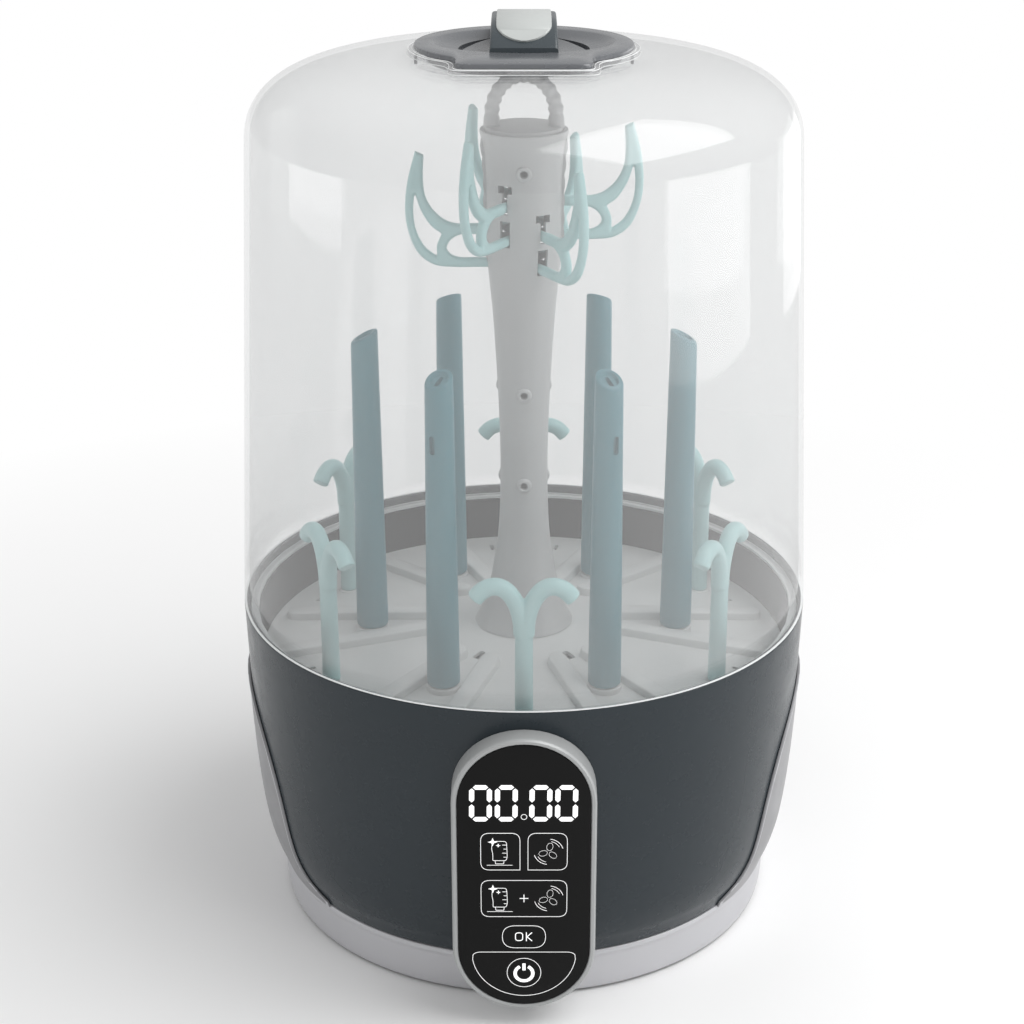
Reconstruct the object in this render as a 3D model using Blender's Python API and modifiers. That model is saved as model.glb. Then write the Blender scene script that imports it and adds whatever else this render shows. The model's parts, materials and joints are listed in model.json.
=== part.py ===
"""Bottle sterilizer and dryer: a round base with a control panel, a lift-out rack and a clear dome.

Metres, +Z up, front towards -Y. The turned pieces share one vertical axis, at y = AXIS_Y, so that the
origin is the middle of the whole footprint, on the surface that the feet stand on.
"""

import math

import bmesh
import bpy
from mathutils import Matrix, Vector

NAME = "bottle_sterilizer"
GAP = 0.0003  # between pieces that rest on each other

# Outer surface of the base shell, (radius, height) from its rim down.
SHELL = [
    (0.1402, 0.1600),
    (0.1388, 0.1200),
    (0.1366, 0.0800),
    (0.1349, 0.0600),
    (0.1327, 0.0450),
    (0.1302, 0.0350),
    (0.1266, 0.0262),
]
RIM_R, RIM_Z = SHELL[0]
SHELL_WALL = 0.0025
LEDGE_R, LEDGE_Z = 0.1352, 0.1500  # ledge in the shell that carries the tub
SPIGOT_R = 0.1376  # inside of the shell above that ledge
LIP_R = 0.1210  # bottom lip of the shell

RING_R = 0.1255
RING_LOW, RING_TOP = 0.0015, 0.0225
NECK_R = 0.1235  # recessed neck between the ring and the shell
COVER_R = 0.1222
COVER_LOW, COVER_TOP = 0.0030, 0.0055

TUB_TOP = 0.1540
TUB_R = 0.1326  # inside of the tub above the tray
TRAY_LEDGE_R, TRAY_LEDGE_Z = 0.1160, 0.1262
FLOOR_R, FLOOR_Z = 0.1088, 0.0922
FLOOR_HOLE_R = 0.0540
BOSS_R, BOSS_CIRCLE = 0.0040, 0.0980
SCREW_R, SCREW_HEAD_R = 0.0010, 0.0026

DOME_RIM_Z = RIM_Z + GAP
DOME_R = 0.1400
DOME_WALL = 0.0026
SHOULDER_R, SHOULDER_Z = 0.1290, 0.3900
CROWN_R, CROWN_Z = 0.0580, 0.4260
COLLAR_R, COLLAR_Z = 0.0545, 0.4285
DOME_HOLE_R = 0.0455
CAP_R, CAP_Z = 0.0504, 0.4310
CAP_UNDER_Z = 0.4248
TAB_HALF_WIDTH, TAB_FRONT = 0.0310, -0.0590
DISH_R, DISH_SPAN = 0.0420, (-0.0310, 0.0385)  # its half width, and its front and back edges
HANDLE_HALF_WIDTH = 0.0154
HANDLE_MIDDLE_Y, HANDLE_REACH = 0.0040, 0.0335
HANDLE_RISE = 0.0108
FOOT_SHARE = 0.80  # where the strap's feet begin, as a share of its reach
INLAY_HALF_WIDTH = 0.0124
INLAY_THICK = 0.0010

TRAY_R = 0.1318
TRAY_MID_R, TRAY_MID_Z = 0.0255, 0.1410
TRAY_EDGE_R, TRAY_EDGE_Z = 0.1290, 0.1310
RIB_IN, RIB_OUT, RIB_WIDTH, RIB_HEIGHT = 0.0480, 0.1250, 0.0100, 0.0014
RIB_SPREAD = math.radians(10.7)  # from a post's own angle to the rib on each side of it
SEAT_Z = 0.1382
POST_CIRCLE, POST_TOP_Z = 0.0771, 0.2946
POST_R_LOW, POST_R_TOP, POST_WALL = 0.0080, 0.0066, 0.0016
POST_CUT = math.radians(29)  # slant of a post's top, low side outwards
FORK_CIRCLE, FORK_R = 0.1080, 0.0044
FORK_SPLIT_Z = 0.1900

# Outer surface of the air column, (radius, height) from its rim down.
COLUMN = [
    (0.0206, 0.3912),
    (0.0189, 0.3790),
    (0.0180, 0.3660),
    (0.0180, 0.3340),
    (0.0152, 0.3100),
    (0.0124, 0.2585),
    (0.0116, 0.2300),
    (0.0122, 0.2025),
    (0.0140, 0.1780),
    (0.0172, 0.1630),
    (0.0205, 0.1500),
    (0.0245, 0.1417),
]
COLUMN_WALL = 0.0018
NOZZLE_R = 0.0015
NOZZLE_HEIGHTS = (0.3737, 0.2647, 0.2178)

HOOK_THICK = 0.0046
HOOK_HIGH, HOOK_LOW = 0.3412, 0.3276  # middle of a hook's lower bar
HOOK_TRAVEL = 0.0070
HOOK_END_R = 0.0140  # inner end of a hook's bars, inside the column
BAR_HALF = 0.0024
UPPER_BAR = (0.0132, 0.0190)  # its underside and top, above the lower bar's middle
LUG_HALF_WIDTH = 0.0040

PANEL_Y = -0.1500  # front face of the control panel, from the axis
PANEL_LOW, PANEL_TOP = 0.0104, 0.1519
PANEL_HALF_WIDTH = 0.0328
GLASS_HALF_WIDTH = 0.0303
GLASS_THICK = 0.0015

FILTER_Z, FILTER_HALF = 0.0910, (0.0275, 0.0190)  # window frame's middle, and half its width and height
LOUVRE_PITCH = 0.0046
INLET_Z, INLET_HALF = 0.0480, (0.0135, 0.0100)
SOCKET_HALF, PIN_SPREAD = (0.0085, 0.0042), 0.0043
SKIN_THICK = 0.0015  # of the flanges that lie on the shell

TRIM_LOW, TRIM_TOP = 0.0228, 0.1230
TRIM_THICK = 0.0013

FAN_CASE_R = 0.0460
FAN_CASE_LOW, FAN_CASE_TOP = 0.0250, 0.0525
IMPELLER_R = 0.0380
BLADES = 9
TUBE_IN, TUBE_OUT = 0.0105, 0.0125

AXIS_Y = -(PANEL_Y + RIM_R) / 2  # puts the middle of the footprint at y = 0

ROUND = 44  # steps of the large turned pieces
MEDIUM = 28
SMALL = 16

COLOURS = {
    # name: (red, green, blue, roughness, metallic, alpha)
    "clear_plastic": (0.93, 0.95, 0.95, 0.05, 0.0, 0.25),
    "slate_plastic": (0.055, 0.070, 0.078, 0.32, 0.0, 1.0),
    "cap_plastic": (0.130, 0.150, 0.165, 0.40, 0.0, 1.0),
    "light_plastic": (0.56, 0.57, 0.57, 0.38, 0.0, 1.0),
    "rack_plastic": (0.52, 0.53, 0.53, 0.45, 0.0, 1.0),
    "post_plastic": (0.26, 0.35, 0.37, 0.42, 0.0, 1.0),
    "aqua_plastic": (0.47, 0.62, 0.61, 0.42, 0.0, 1.0),
    "silver_paint": (0.50, 0.50, 0.51, 0.30, 0.35, 1.0),
    "panel_gloss": (0.012, 0.012, 0.013, 0.06, 0.0, 1.0),
    "steel": (0.62, 0.62, 0.62, 0.25, 1.0, 1.0),
    "rubber": (0.03, 0.03, 0.03, 0.80, 0.0, 1.0),
    "silicone": (0.70, 0.71, 0.71, 0.60, 0.0, 1.0),
    "board": (0.05, 0.22, 0.10, 0.50, 0.0, 1.0),
    "black_plastic": (0.03, 0.03, 0.03, 0.50, 0.0, 1.0),
    "filter_felt": (0.80, 0.80, 0.78, 0.95, 0.0, 1.0),
}


# ---------------------------------------------------------------- scene helpers


def clear_scene():
    for obj in list(bpy.data.objects):
        bpy.data.objects.remove(obj, do_unlink=True)


def collection(name):
    made = bpy.data.collections.new(name)
    bpy.context.scene.collection.children.link(made)
    return made


def make_materials():
    made = {}
    for name, (red, green, blue, rough, metal, alpha) in COLOURS.items():
        material = bpy.data.materials.new(name)
        material.use_nodes = True
        shader = material.node_tree.nodes["Principled BSDF"]
        shader.inputs["Base Color"].default_value = (red, green, blue, 1.0)
        shader.inputs["Roughness"].default_value = rough
        shader.inputs["Metallic"].default_value = metal
        shader.inputs["Alpha"].default_value = alpha
        made[name] = material
    return made


def empty(name, parent=None, location=(0, 0, 0)):
    made = bpy.data.objects.new(name, None)
    made.location = location
    made.parent = parent
    PARTS.objects.link(made)
    return made


def place(name, data, material, parent=None, location=(0, 0, 0), turn=0.0):
    """Adds a sub-part under its body's empty, turned about the axis."""
    made = bpy.data.objects.new(name, data)
    made.location = location
    made.rotation_euler = (0, 0, turn)
    made.parent = parent or BASE
    data.materials.clear()
    data.materials.append(MATERIALS[material])
    PARTS.objects.link(made)
    return made


def tool(name, data, parent=None, turn=0.0):
    """Adds a shape that only cuts or joins, and is no part itself."""
    made = bpy.data.objects.new(name, data)
    made.rotation_euler = (0, 0, turn)
    made.parent = parent or BASE
    made.hide_render = True
    made.display_type = "WIRE"
    TOOLS.objects.link(made)
    return made


def boolean(target, other, operation="DIFFERENCE"):
    modifier = target.modifiers.new(operation.lower(), "BOOLEAN")
    modifier.operation = operation
    modifier.object = other
    modifier.solver = "EXACT"


def shade(obj, angle=35):
    if obj.type == "MESH":
        obj.data.shade_smooth()
        obj.data.set_sharp_from_angle(angle=math.radians(angle))


# ---------------------------------------------------------------- shape helpers


def profile_mesh(name, points, closed):
    mesh = bpy.data.meshes.new(name)
    count = len(points)
    edges = [(i, i + 1) for i in range(count - 1)]
    if closed:
        edges.append((count - 1, 0))
    mesh.from_pydata([(r, 0, z) for r, z in points], edges, [])
    return mesh


def screw(obj, steps):
    modifier = obj.modifiers.new("turn", "SCREW")
    modifier.axis = "Z"
    modifier.angle = math.tau
    modifier.steps = steps
    modifier.render_steps = steps
    modifier.use_merge_vertices = True
    modifier.merge_threshold = 0.00005
    modifier.use_smooth_shade = True


def turned(name, points, material, steps=ROUND, parent=None):
    """A turned piece. Its profile runs down the outer side; one that starts at r = 0 also ends there."""
    mesh = profile_mesh(name, points, closed=points[0][0] > 0)
    obj = place(name, mesh, material, parent)
    screw(obj, steps)
    return obj


def turned_tool(name, points, steps=ROUND, parent=None):
    obj = tool(name, profile_mesh(name, points, closed=points[0][0] > 0), parent)
    screw(obj, steps)
    return obj


def add_box(bm, size, matrix):
    """A box of a size, centred on the matrix's place."""
    bmesh.ops.create_cube(bm, size=1, matrix=matrix @ Matrix.Diagonal((*size, 1)))


def box_mesh(name, low, high):
    bm = bmesh.new()
    low, high = Vector(low), Vector(high)
    size = high - low
    matrix = Matrix.Translation((low + high) / 2) @ Matrix.Diagonal((*size, 1))
    bmesh.ops.create_cube(bm, size=1, matrix=matrix)
    return finish(bm, name)


def cylinder_mesh(name, radius, low, high, centre=(0, 0), steps=SMALL, top_radius=None):
    """A standing cylinder, or a cone, between two heights."""
    bm = bmesh.new()
    add_cylinder(bm, radius, low, high, centre, steps, top_radius)
    return finish(bm, name)


def add_cylinder(bm, radius, low, high, centre=(0, 0), steps=SMALL, top_radius=None):
    bmesh.ops.create_cone(
        bm,
        cap_ends=True,
        segments=steps,
        radius1=radius,
        radius2=radius if top_radius is None else top_radius,
        depth=high - low,
        matrix=Matrix.Translation((*centre, (low + high) / 2)),
    )


def add_rod(bm, radius, start, end, steps=8):
    """A cylinder from one point to another, in any direction."""
    start, end = Vector(start), Vector(end)
    along = end - start
    turn = along.to_track_quat("Z", "Y").to_matrix().to_4x4()
    bmesh.ops.create_cone(
        bm,
        cap_ends=True,
        segments=steps,
        radius1=radius,
        radius2=radius,
        depth=along.length,
        matrix=Matrix.Translation((start + end) / 2) @ turn,
    )


def add_prism(bm, outline, shift, matrix=None):
    """A flat outline of 3-D points, drawn out by a vector and then moved by a matrix."""
    face = bm.faces.new([bm.verts.new(point) for point in outline])
    made = bmesh.ops.extrude_face_region(bm, geom=[face])
    moved = [item for item in made["geom"] if isinstance(item, bmesh.types.BMVert)]
    bmesh.ops.translate(bm, verts=moved, vec=shift)
    if matrix:
        bmesh.ops.transform(bm, verts=list(face.verts) + moved, matrix=matrix)


def finish(bm, name):
    bmesh.ops.recalc_face_normals(bm, faces=bm.faces)
    mesh = bpy.data.meshes.new(name)
    bm.to_mesh(mesh)
    bm.free()
    return mesh


def mesh_of(obj):
    """The evaluated mesh of a curve or of an object with modifiers, welded, in its own space."""
    bpy.context.view_layer.update()
    graph = bpy.context.evaluated_depsgraph_get()
    mesh = bpy.data.meshes.new_from_object(obj.evaluated_get(graph), depsgraph=graph)
    bm = bmesh.new()
    bm.from_mesh(mesh)
    bmesh.ops.remove_doubles(bm, verts=bm.verts, dist=0.00002)
    bmesh.ops.recalc_face_normals(bm, faces=bm.faces)
    bm.to_mesh(mesh)
    bm.free()
    return mesh


def from_curve(curve):
    """Turns curve data into a welded mesh, and drops the curve."""
    holder = bpy.data.objects.new(curve.name, curve)
    bpy.context.scene.collection.objects.link(holder)
    mesh = mesh_of(holder)
    mesh.name = curve.name
    bpy.data.objects.remove(holder)
    return mesh


def tube_mesh(name, points, radius, resolution=2, cyclic=False):
    """A round bar along a line of points."""
    curve = bpy.data.curves.new(name, "CURVE")
    curve.dimensions = "3D"
    curve.bevel_depth = radius
    curve.bevel_resolution = resolution
    curve.use_fill_caps = not cyclic
    spline = curve.splines.new("POLY")
    spline.points.add(len(points) - 1)
    for point, co in zip(spline.points, points):
        point.co = (*co, 1)
    spline.use_cyclic_u = cyclic
    return from_curve(curve)


def outline_mesh(name, loops, thickness, resolution=3):
    """A flat plate in the XY plane from closed outlines: the first is its edge, the others are holes."""
    curve = bpy.data.curves.new(name, "CURVE")
    curve.dimensions = "2D"
    curve.fill_mode = "BOTH"
    curve.extrude = thickness / 2
    curve.resolution_u = resolution
    for loop in loops:
        spline = curve.splines.new("BEZIER")
        spline.bezier_points.add(len(loop) - 1)
        spline.use_cyclic_u = True
        for point, (x, y, kind) in zip(spline.bezier_points, loop):
            point.co = (x, y, 0)
            point.handle_left_type = point.handle_right_type = kind
    return from_curve(curve)


def round_edges(obj, width, segments=1, over=50):
    modifier = obj.modifiers.new("edges", "BEVEL")
    modifier.width = width
    modifier.segments = segments
    modifier.limit_method = "ANGLE"
    modifier.angle_limit = math.radians(over)


def soft(points):
    return [(x, y, "AUTO") for x, y in points]


def hard(points):
    return [(x, y, "VECTOR") for x, y in points]


def upright(mesh):
    """Stands a plate that was drawn in XY up in the XZ plane, its own Y becoming Z."""
    mesh.transform(Matrix.Rotation(math.radians(90), 4, "X"))
    return mesh


def radial(mesh):
    """Stands a plate that was drawn in XY up in the plane x = 0, its own X pointing to the front (-Y)."""
    upright(mesh).transform(Matrix.Rotation(math.radians(-90), 4, "Z"))
    return mesh


def pill_mesh(name, half_width, low, high, front, back, steps=14):
    """A plate with half-round top and bottom, upright, between two depths in Y."""
    bm = bmesh.new()
    points = []
    for middle, start in ((high - half_width, 0.0), (low + half_width, math.pi)):
        for step in range(steps + 1):
            angle = start + math.pi * step / steps
            points.append((half_width * math.cos(angle), front, middle + half_width * math.sin(angle)))
    add_prism(bm, points, (0, back - front, 0))
    return finish(bm, name)


def between(points, height):
    """Radius of a turned surface at a height, by straight lines between its points."""
    for (r_up, z_up), (r_down, z_down) in zip(points, points[1:]):
        if z_down <= height <= z_up:
            share = (height - z_down) / (z_up - z_down)
            return r_down + share * (r_up - r_down)
    return points[-1][0] if height < points[-1][1] else points[0][0]


def bezier(start, first, second, end, count):
    """Points along a cubic curve, both ends included."""
    made = []
    for step in range(count + 1):
        t = step / count
        weights = ((1 - t) ** 3, 3 * t * (1 - t) ** 2, 3 * t * t * (1 - t), t**3)
        made.append(
            tuple(sum(w * p[axis] for w, p in zip(weights, (start, first, second, end))) for axis in (0, 1))
        )
    return made


def around(count, first=0.0):
    """Angles of equally spaced copies, counted from the front."""
    return [math.radians(first) + math.tau * i / count for i in range(count)]


def spot(angle, radius):
    """A place on a circle: angle 0 is at the front, and it grows towards +X."""
    return (radius * math.sin(angle), -radius * math.cos(angle))


# ---------------------------------------------------------------- base


def outer_shell():
    inner = [(r - SHELL_WALL, z) for r, z in reversed(SHELL) if 0.032 < z < 0.142]
    profile = (
        SHELL
        + [(LIP_R, 0.0262), (LIP_R, 0.0285), (0.1248, 0.0300)]
        + inner
        + [(LEDGE_R, 0.1465), (LEDGE_R, LEDGE_Z), (SPIGOT_R, LEDGE_Z), (SPIGOT_R, RIM_Z)]
    )
    shell = turned("outer_shell", profile, "slate_plastic")
    filter_window = window_box("filter_window", FILTER_Z, FILTER_HALF)
    inlet_window = window_box("inlet_window", INLET_Z, INLET_HALF)
    wire = bmesh.new()
    add_rod(wire, 0.0040, (0, -0.150, 0.085), (0, -0.125, 0.085), 12)
    for cutter in (filter_window, inlet_window, tool("wire_hole", finish(wire, "wire_hole"))):
        boolean(shell, cutter)


def window_box(name, middle, half):
    """A cutter through the back of the shell, one gap larger than the piece that fills it."""
    wide, high = half[0] + GAP, half[1] + GAP
    return tool(name, box_mesh(name, (-wide, 0.118, middle - high), (wide, 0.150, middle + high)))


def skin_profile(low, high, thick=SKIN_THICK):
    """Closed profile of a thin layer lying on the shell between two heights."""
    heights = [high] + [z for _, z in SHELL if low < z < high] + [low]
    outer = [(between(SHELL, z) + GAP + thick, z) for z in heights]
    inner = [(between(SHELL, z) + GAP, z) for z in reversed(heights)]
    return outer + inner


def skin_patch(name, keep, low, high, material, thick=SKIN_THICK):
    """A plate that follows the shell: a turned layer of which only the part inside keep is left."""
    patch = turned(name, skin_profile(low, high, thick), material)
    boolean(patch, tool(name + "_extent", keep), "INTERSECT")
    return patch


def rear_patch(name, half_width, low, high, material):
    keep = box_mesh(name, (-half_width, 0.05, low - 0.01), (half_width, 0.16, high + 0.01))
    return skin_patch(name, keep, low, high, material)


def filter_cover():
    wide, high = FILTER_HALF
    lip = 0.0035
    low, top = FILTER_Z - high - lip, FILTER_Z + high + lip
    cover = rear_patch("filter_cover", wide + lip, low, top, "slate_plastic")
    frame = box_mesh("filter_frame", (-wide, 0.1225, FILTER_Z - high), (wide, 0.1372, FILTER_Z + high))
    boolean(cover, tool("filter_frame", frame), "UNION")
    wall = 0.0018
    pocket = box_mesh(
        "filter_pocket",
        (-wide + wall, 0.1200, FILTER_Z - high + wall),
        (wide - wall, 0.1312, FILTER_Z + high - wall),
    )
    boolean(cover, tool("filter_pocket", pocket))
    bm = bmesh.new()
    slot_size = (2 * wide - 0.010, 0.020, 0.0022)
    for row in range(-3, 4):
        add_box(bm, slot_size, Matrix.Translation((0, 0.135, FILTER_Z + row * LOUVRE_PITCH)))
    boolean(cover, tool("filter_louvres", finish(bm, "filter_louvres")))
    cover.parent = FILTER
    pad = box_mesh(
        "air_filter",
        (-wide + wall + GAP, 0.1228, FILTER_Z - high + wall + GAP),
        (wide - wall - GAP, 0.1309, FILTER_Z + high - wall - GAP),
    )
    place("air_filter", pad, "filter_felt", FILTER)


def power_inlet():
    wide, high = INLET_HALF
    low, top = INLET_Z - high - 0.0025, INLET_Z + high + 0.0025
    inlet = rear_patch("power_inlet", wide + 0.0030, low, top, "black_plastic")
    body = box_mesh("inlet_body", (-wide, 0.1100, INLET_Z - high), (wide, 0.1335, INLET_Z + high))
    boolean(inlet, tool("inlet_body", body), "UNION")
    wide, high = SOCKET_HALF
    socket = box_mesh("inlet_socket", (-wide, 0.1170, INLET_Z - high), (wide, 0.1400, INLET_Z + high))
    boolean(inlet, tool("inlet_socket", socket))
    pins = bmesh.new()
    for x in (-PIN_SPREAD, PIN_SPREAD):
        add_rod(pins, 0.0012, (x, 0.1150, INLET_Z), (x, 0.1290, INLET_Z), 8)
    boolean(inlet, tool("inlet_pins", finish(pins, "inlet_pins")), "UNION")


def inner_tub():
    wall = 0.0022
    profile = [
        (SPIGOT_R - GAP, TUB_TOP),
        (SPIGOT_R - GAP, LEDGE_Z + GAP),
        (TUB_R + wall, LEDGE_Z + GAP),
        (TUB_R + wall - 0.0004, TRAY_LEDGE_Z - 0.0026),
        (TRAY_LEDGE_R + 0.0024, TRAY_LEDGE_Z - 0.0026),
        (FLOOR_R + 0.0022, FLOOR_Z - 0.0024),
        (FLOOR_HOLE_R, FLOOR_Z - 0.0024),
        (FLOOR_HOLE_R, FLOOR_Z),
        (FLOOR_R, FLOOR_Z),
        (TRAY_LEDGE_R, TRAY_LEDGE_Z),
        (TUB_R - 0.0004, TRAY_LEDGE_Z),
        (TUB_R, TUB_TOP),
    ]
    tub = turned("inner_tub", profile, "slate_plastic")
    bosses = bmesh.new()
    bores = bmesh.new()
    for angle in around(4, 45):
        add_cylinder(bosses, BOSS_R, COVER_TOP + GAP, FLOOR_Z - 0.001, spot(angle, BOSS_CIRCLE), 12)
        add_cylinder(bores, 0.0013, 0.0, 0.0200, spot(angle, BOSS_CIRCLE), 10)
    boolean(tub, tool("screw_bosses", finish(bosses, "screw_bosses")), "UNION")
    boolean(tub, tool("screw_bores", finish(bores, "screw_bores")))


def rim_seal():
    low, high = TUB_TOP + GAP, 0.1557
    turned("rim_seal", [(0.1370, high), (0.1370, low), (0.1335, low), (0.1335, high)], "silicone")


def base_ring():
    profile = [
        (NECK_R, 0.0259),
        (NECK_R, RING_TOP),
        (RING_R + 0.0012, RING_TOP),
        (RING_R, RING_TOP - 0.0030),
        (RING_R, RING_LOW),
        (COVER_R + 0.0006, RING_LOW),
        (COVER_R + 0.0006, 0.0198),
        (0.1208, 0.0215),
        (0.1208, 0.0259),
    ]
    turned("base_ring", profile, "silver_paint")


def bottom_cover():
    profile = [
        (0, COVER_TOP),
        (0.1195, COVER_TOP),
        (0.1195, 0.0193),
        (COVER_R, 0.0193),
        (COVER_R, COVER_LOW),
        (0, COVER_LOW),
    ]
    cover = turned("bottom_cover", profile, "black_plastic", steps=36)
    stand = bmesh.new()
    for angle in around(3, 60):
        add_cylinder(stand, 0.0035, 0.0045, FAN_CASE_LOW - GAP, spot(angle, 0.0400), 12)
    for x in (0.0590, 0.0910):
        for y in (-0.0250, 0.0250):
            add_cylinder(stand, 0.0030, 0.0045, 0.0197, (x, y), 10)
    boolean(cover, tool("cover_posts", finish(stand, "cover_posts")), "UNION")
    holes = bmesh.new()
    for angle in around(4, 45):
        add_cylinder(holes, 0.0015, 0.0, 0.0100, spot(angle, BOSS_CIRCLE), 12)
    boolean(cover, tool("cover_holes", finish(holes, "cover_holes")))


def feet_and_screws():
    for number, angle in enumerate(around(4, 30 + 45), 1):
        x, y = spot(angle, 0.1080)
        foot = cylinder_mesh("foot", 0.0075, 0.0, COVER_LOW - GAP, steps=16, top_radius=0.0080)
        place(f"foot_{number}", foot, "rubber", location=(x, y, 0))
    for number, angle in enumerate(around(4, 45), 1):
        x, y = spot(angle, BOSS_CIRCLE)
        head_top = COVER_LOW - GAP
        head = [(SCREW_R, head_top), (SCREW_HEAD_R, head_top), (SCREW_HEAD_R, 0.0012), (0, 0.0012)]
        profile = [(0, 0.0180), (SCREW_R, 0.0175)] + head
        screw_part = turned(f"screw_{number}", profile, "steel", steps=12)
        screw_part.location = (x, y, 0)


def side_trims():
    """Two thin arches that climb the sides of the shell from the ring."""
    right = []
    for step in range(9):
        height = TRIM_LOW + (TRIM_TOP - TRIM_LOW) * (1 - (1 - step / 8) ** 1.7)
        right.append((between(SHELL, height) * math.sin(trim_half_angle(height)), height))
    foot = (0.1, right[0][0], TRIM_LOW - 0.01)
    tip = (0.1, 0.004, TRIM_TOP)
    outline = [foot] + [(0.1, y, z) for y, z in right[:-1]] + [tip]
    outline += [(x, -y, z) for x, y, z in reversed(outline)]
    for name, side in (("side_trim_left", -1), ("side_trim_right", 1)):
        arch = bmesh.new()
        add_prism(arch, [(side * x, y, z) for x, y, z in outline], (side * 0.1, 0, 0))
        skin_patch(name, finish(arch, name), TRIM_LOW, TRIM_TOP, "silver_paint", TRIM_THICK)


def trim_half_angle(height):
    """Half the arch's width at a height: straight sides, a round top and a flared foot."""
    share = max(0.0, (height - 0.030) / (TRIM_TOP - 0.030))
    arch = math.radians(31) * math.sqrt(max(0.0, 1 - min(1.0, share) ** 3))
    return arch + math.radians(10) * math.exp(-max(0.0, height - 0.026) / 0.010)


def panel():
    """Housing of the controls: a pill-shaped block fitted to the shell, a glass front and a board."""
    depth = -0.1150
    block = pill_mesh("panel_frame", PANEL_HALF_WIDTH, PANEL_LOW, PANEL_TOP, PANEL_Y, depth)
    frame = place("panel_frame", block, "light_plastic")
    body = [(0, 0.1700), (RIM_R + GAP, 0.1700)] + [(r + GAP, z) for r, z in SHELL]
    foot = [(RING_R + 0.0016, 0.0259), (RING_R + 0.0016, -0.01), (0, -0.01)]
    boolean(frame, turned_tool("panel_back", body + foot))
    rim = PANEL_HALF_WIDTH - GLASS_HALF_WIDTH
    glass_low, glass_top = PANEL_LOW + rim, PANEL_TOP - rim
    seat_y = PANEL_Y + GLASS_THICK + GAP
    front = PANEL_Y - 0.01
    seat = pill_mesh("glass_seat", GLASS_HALF_WIDTH + GAP, glass_low - GAP, glass_top + GAP, front, seat_y)
    boolean(frame, tool("glass_seat", seat))
    inset_z = 0.006
    back = PANEL_Y + 0.0075
    pocket = pill_mesh("board_pocket", 0.0275, PANEL_LOW + inset_z, PANEL_TOP - inset_z, front, back)
    boolean(frame, tool("board_pocket", pocket))
    wire = bmesh.new()
    add_rod(wire, 0.0030, (0, -0.155, 0.085), (0, -0.120, 0.085), 12)
    boolean(frame, tool("panel_wire_hole", finish(wire, "panel_wire_hole")))
    glass = pill_mesh("panel_glass", GLASS_HALF_WIDTH, glass_low, glass_top, PANEL_Y, PANEL_Y + GLASS_THICK)
    place("panel_glass", glass, "panel_gloss")
    back_y = PANEL_Y + GLASS_THICK + 2 * GAP
    plate = box_mesh("display_board", (-0.018, back_y + 0.0022, 0.030), (0.018, back_y + 0.0038, 0.132))
    board = place("display_board", plate, "board")
    digits = box_mesh("digits", (-0.014, back_y, 0.105), (0.014, back_y + 0.003, 0.123))
    boolean(board, tool("digit_block", digits), "UNION")


def heating_plate():
    profile = [(0.0600, 0.0945), (0.0600, FLOOR_Z + GAP), (0.0150, 0.0915), (0.0150, 0.0935)]
    turned("heating_plate", profile, "steel", steps=36)
    arc = [(*spot(math.radians(a), 0.0400), 0.0883) for a in range(20, 341, 16)]
    tips = [(*spot(math.radians(a), 0.0400), 0.0800) for a in (20, 340)]
    element = tube_mesh("heating_element", [tips[0]] + arc + [tips[1]], 0.0033, 1)
    place("heating_element", element, "steel")
    thermostat = cylinder_mesh("thermostat", 0.0070, 0.0825, 0.0911, spot(math.radians(90), 0.0245), 16)
    place("thermostat", thermostat, "black_plastic")


def air_path():
    """Fan under the middle, and the tube that brings its air up into the column."""
    tube = [
        (TUBE_OUT, 0.1290),
        (TUBE_OUT, 0.0962),
        (0.0200, 0.0962),
        (0.0200, 0.0940),
        (TUBE_OUT, 0.0940),
        (TUBE_OUT, 0.0535),
        (TUBE_IN, 0.0535),
        (TUBE_IN, 0.1290),
    ]
    turned("air_tube", tube, "black_plastic", steps=24)
    case = [
        (0.0152, 0.0560),
        (0.0152, FAN_CASE_TOP),
        (FAN_CASE_R, FAN_CASE_TOP),
        (FAN_CASE_R, FAN_CASE_LOW),
        (0.0240, FAN_CASE_LOW),
        (0.0240, FAN_CASE_LOW + 0.0020),
        (FAN_CASE_R - 0.0020, FAN_CASE_LOW + 0.0020),
        (FAN_CASE_R - 0.0020, FAN_CASE_TOP - 0.0020),
        (0.0130, FAN_CASE_TOP - 0.0020),
        (0.0130, 0.0560),
    ]
    turned("fan_housing", case, "black_plastic", steps=MEDIUM)
    shaft = [(0, 0.0330), (0.0015, 0.0330), (0.0015, 0.0230)]
    motor = shaft + [(0.0120, 0.0230), (0.0120, COVER_TOP + GAP), (0, COVER_TOP + GAP)]
    turned("fan_motor", motor, "steel", steps=24)
    teeth = 10
    star = [
        ((0.0098 if step % 4 < 2 else 0.0062) * math.cos(math.tau * step / (4 * teeth)),
         (0.0098 if step % 4 < 2 else 0.0062) * math.sin(math.tau * step / (4 * teeth)))
        for step in range(4 * teeth)
    ]
    heater = outline_mesh("air_heater", [hard(star)], 0.0150, resolution=1)
    heater.transform(Matrix.Translation((0, 0, 0.0680)))
    place("air_heater", heater, "steel")


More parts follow.
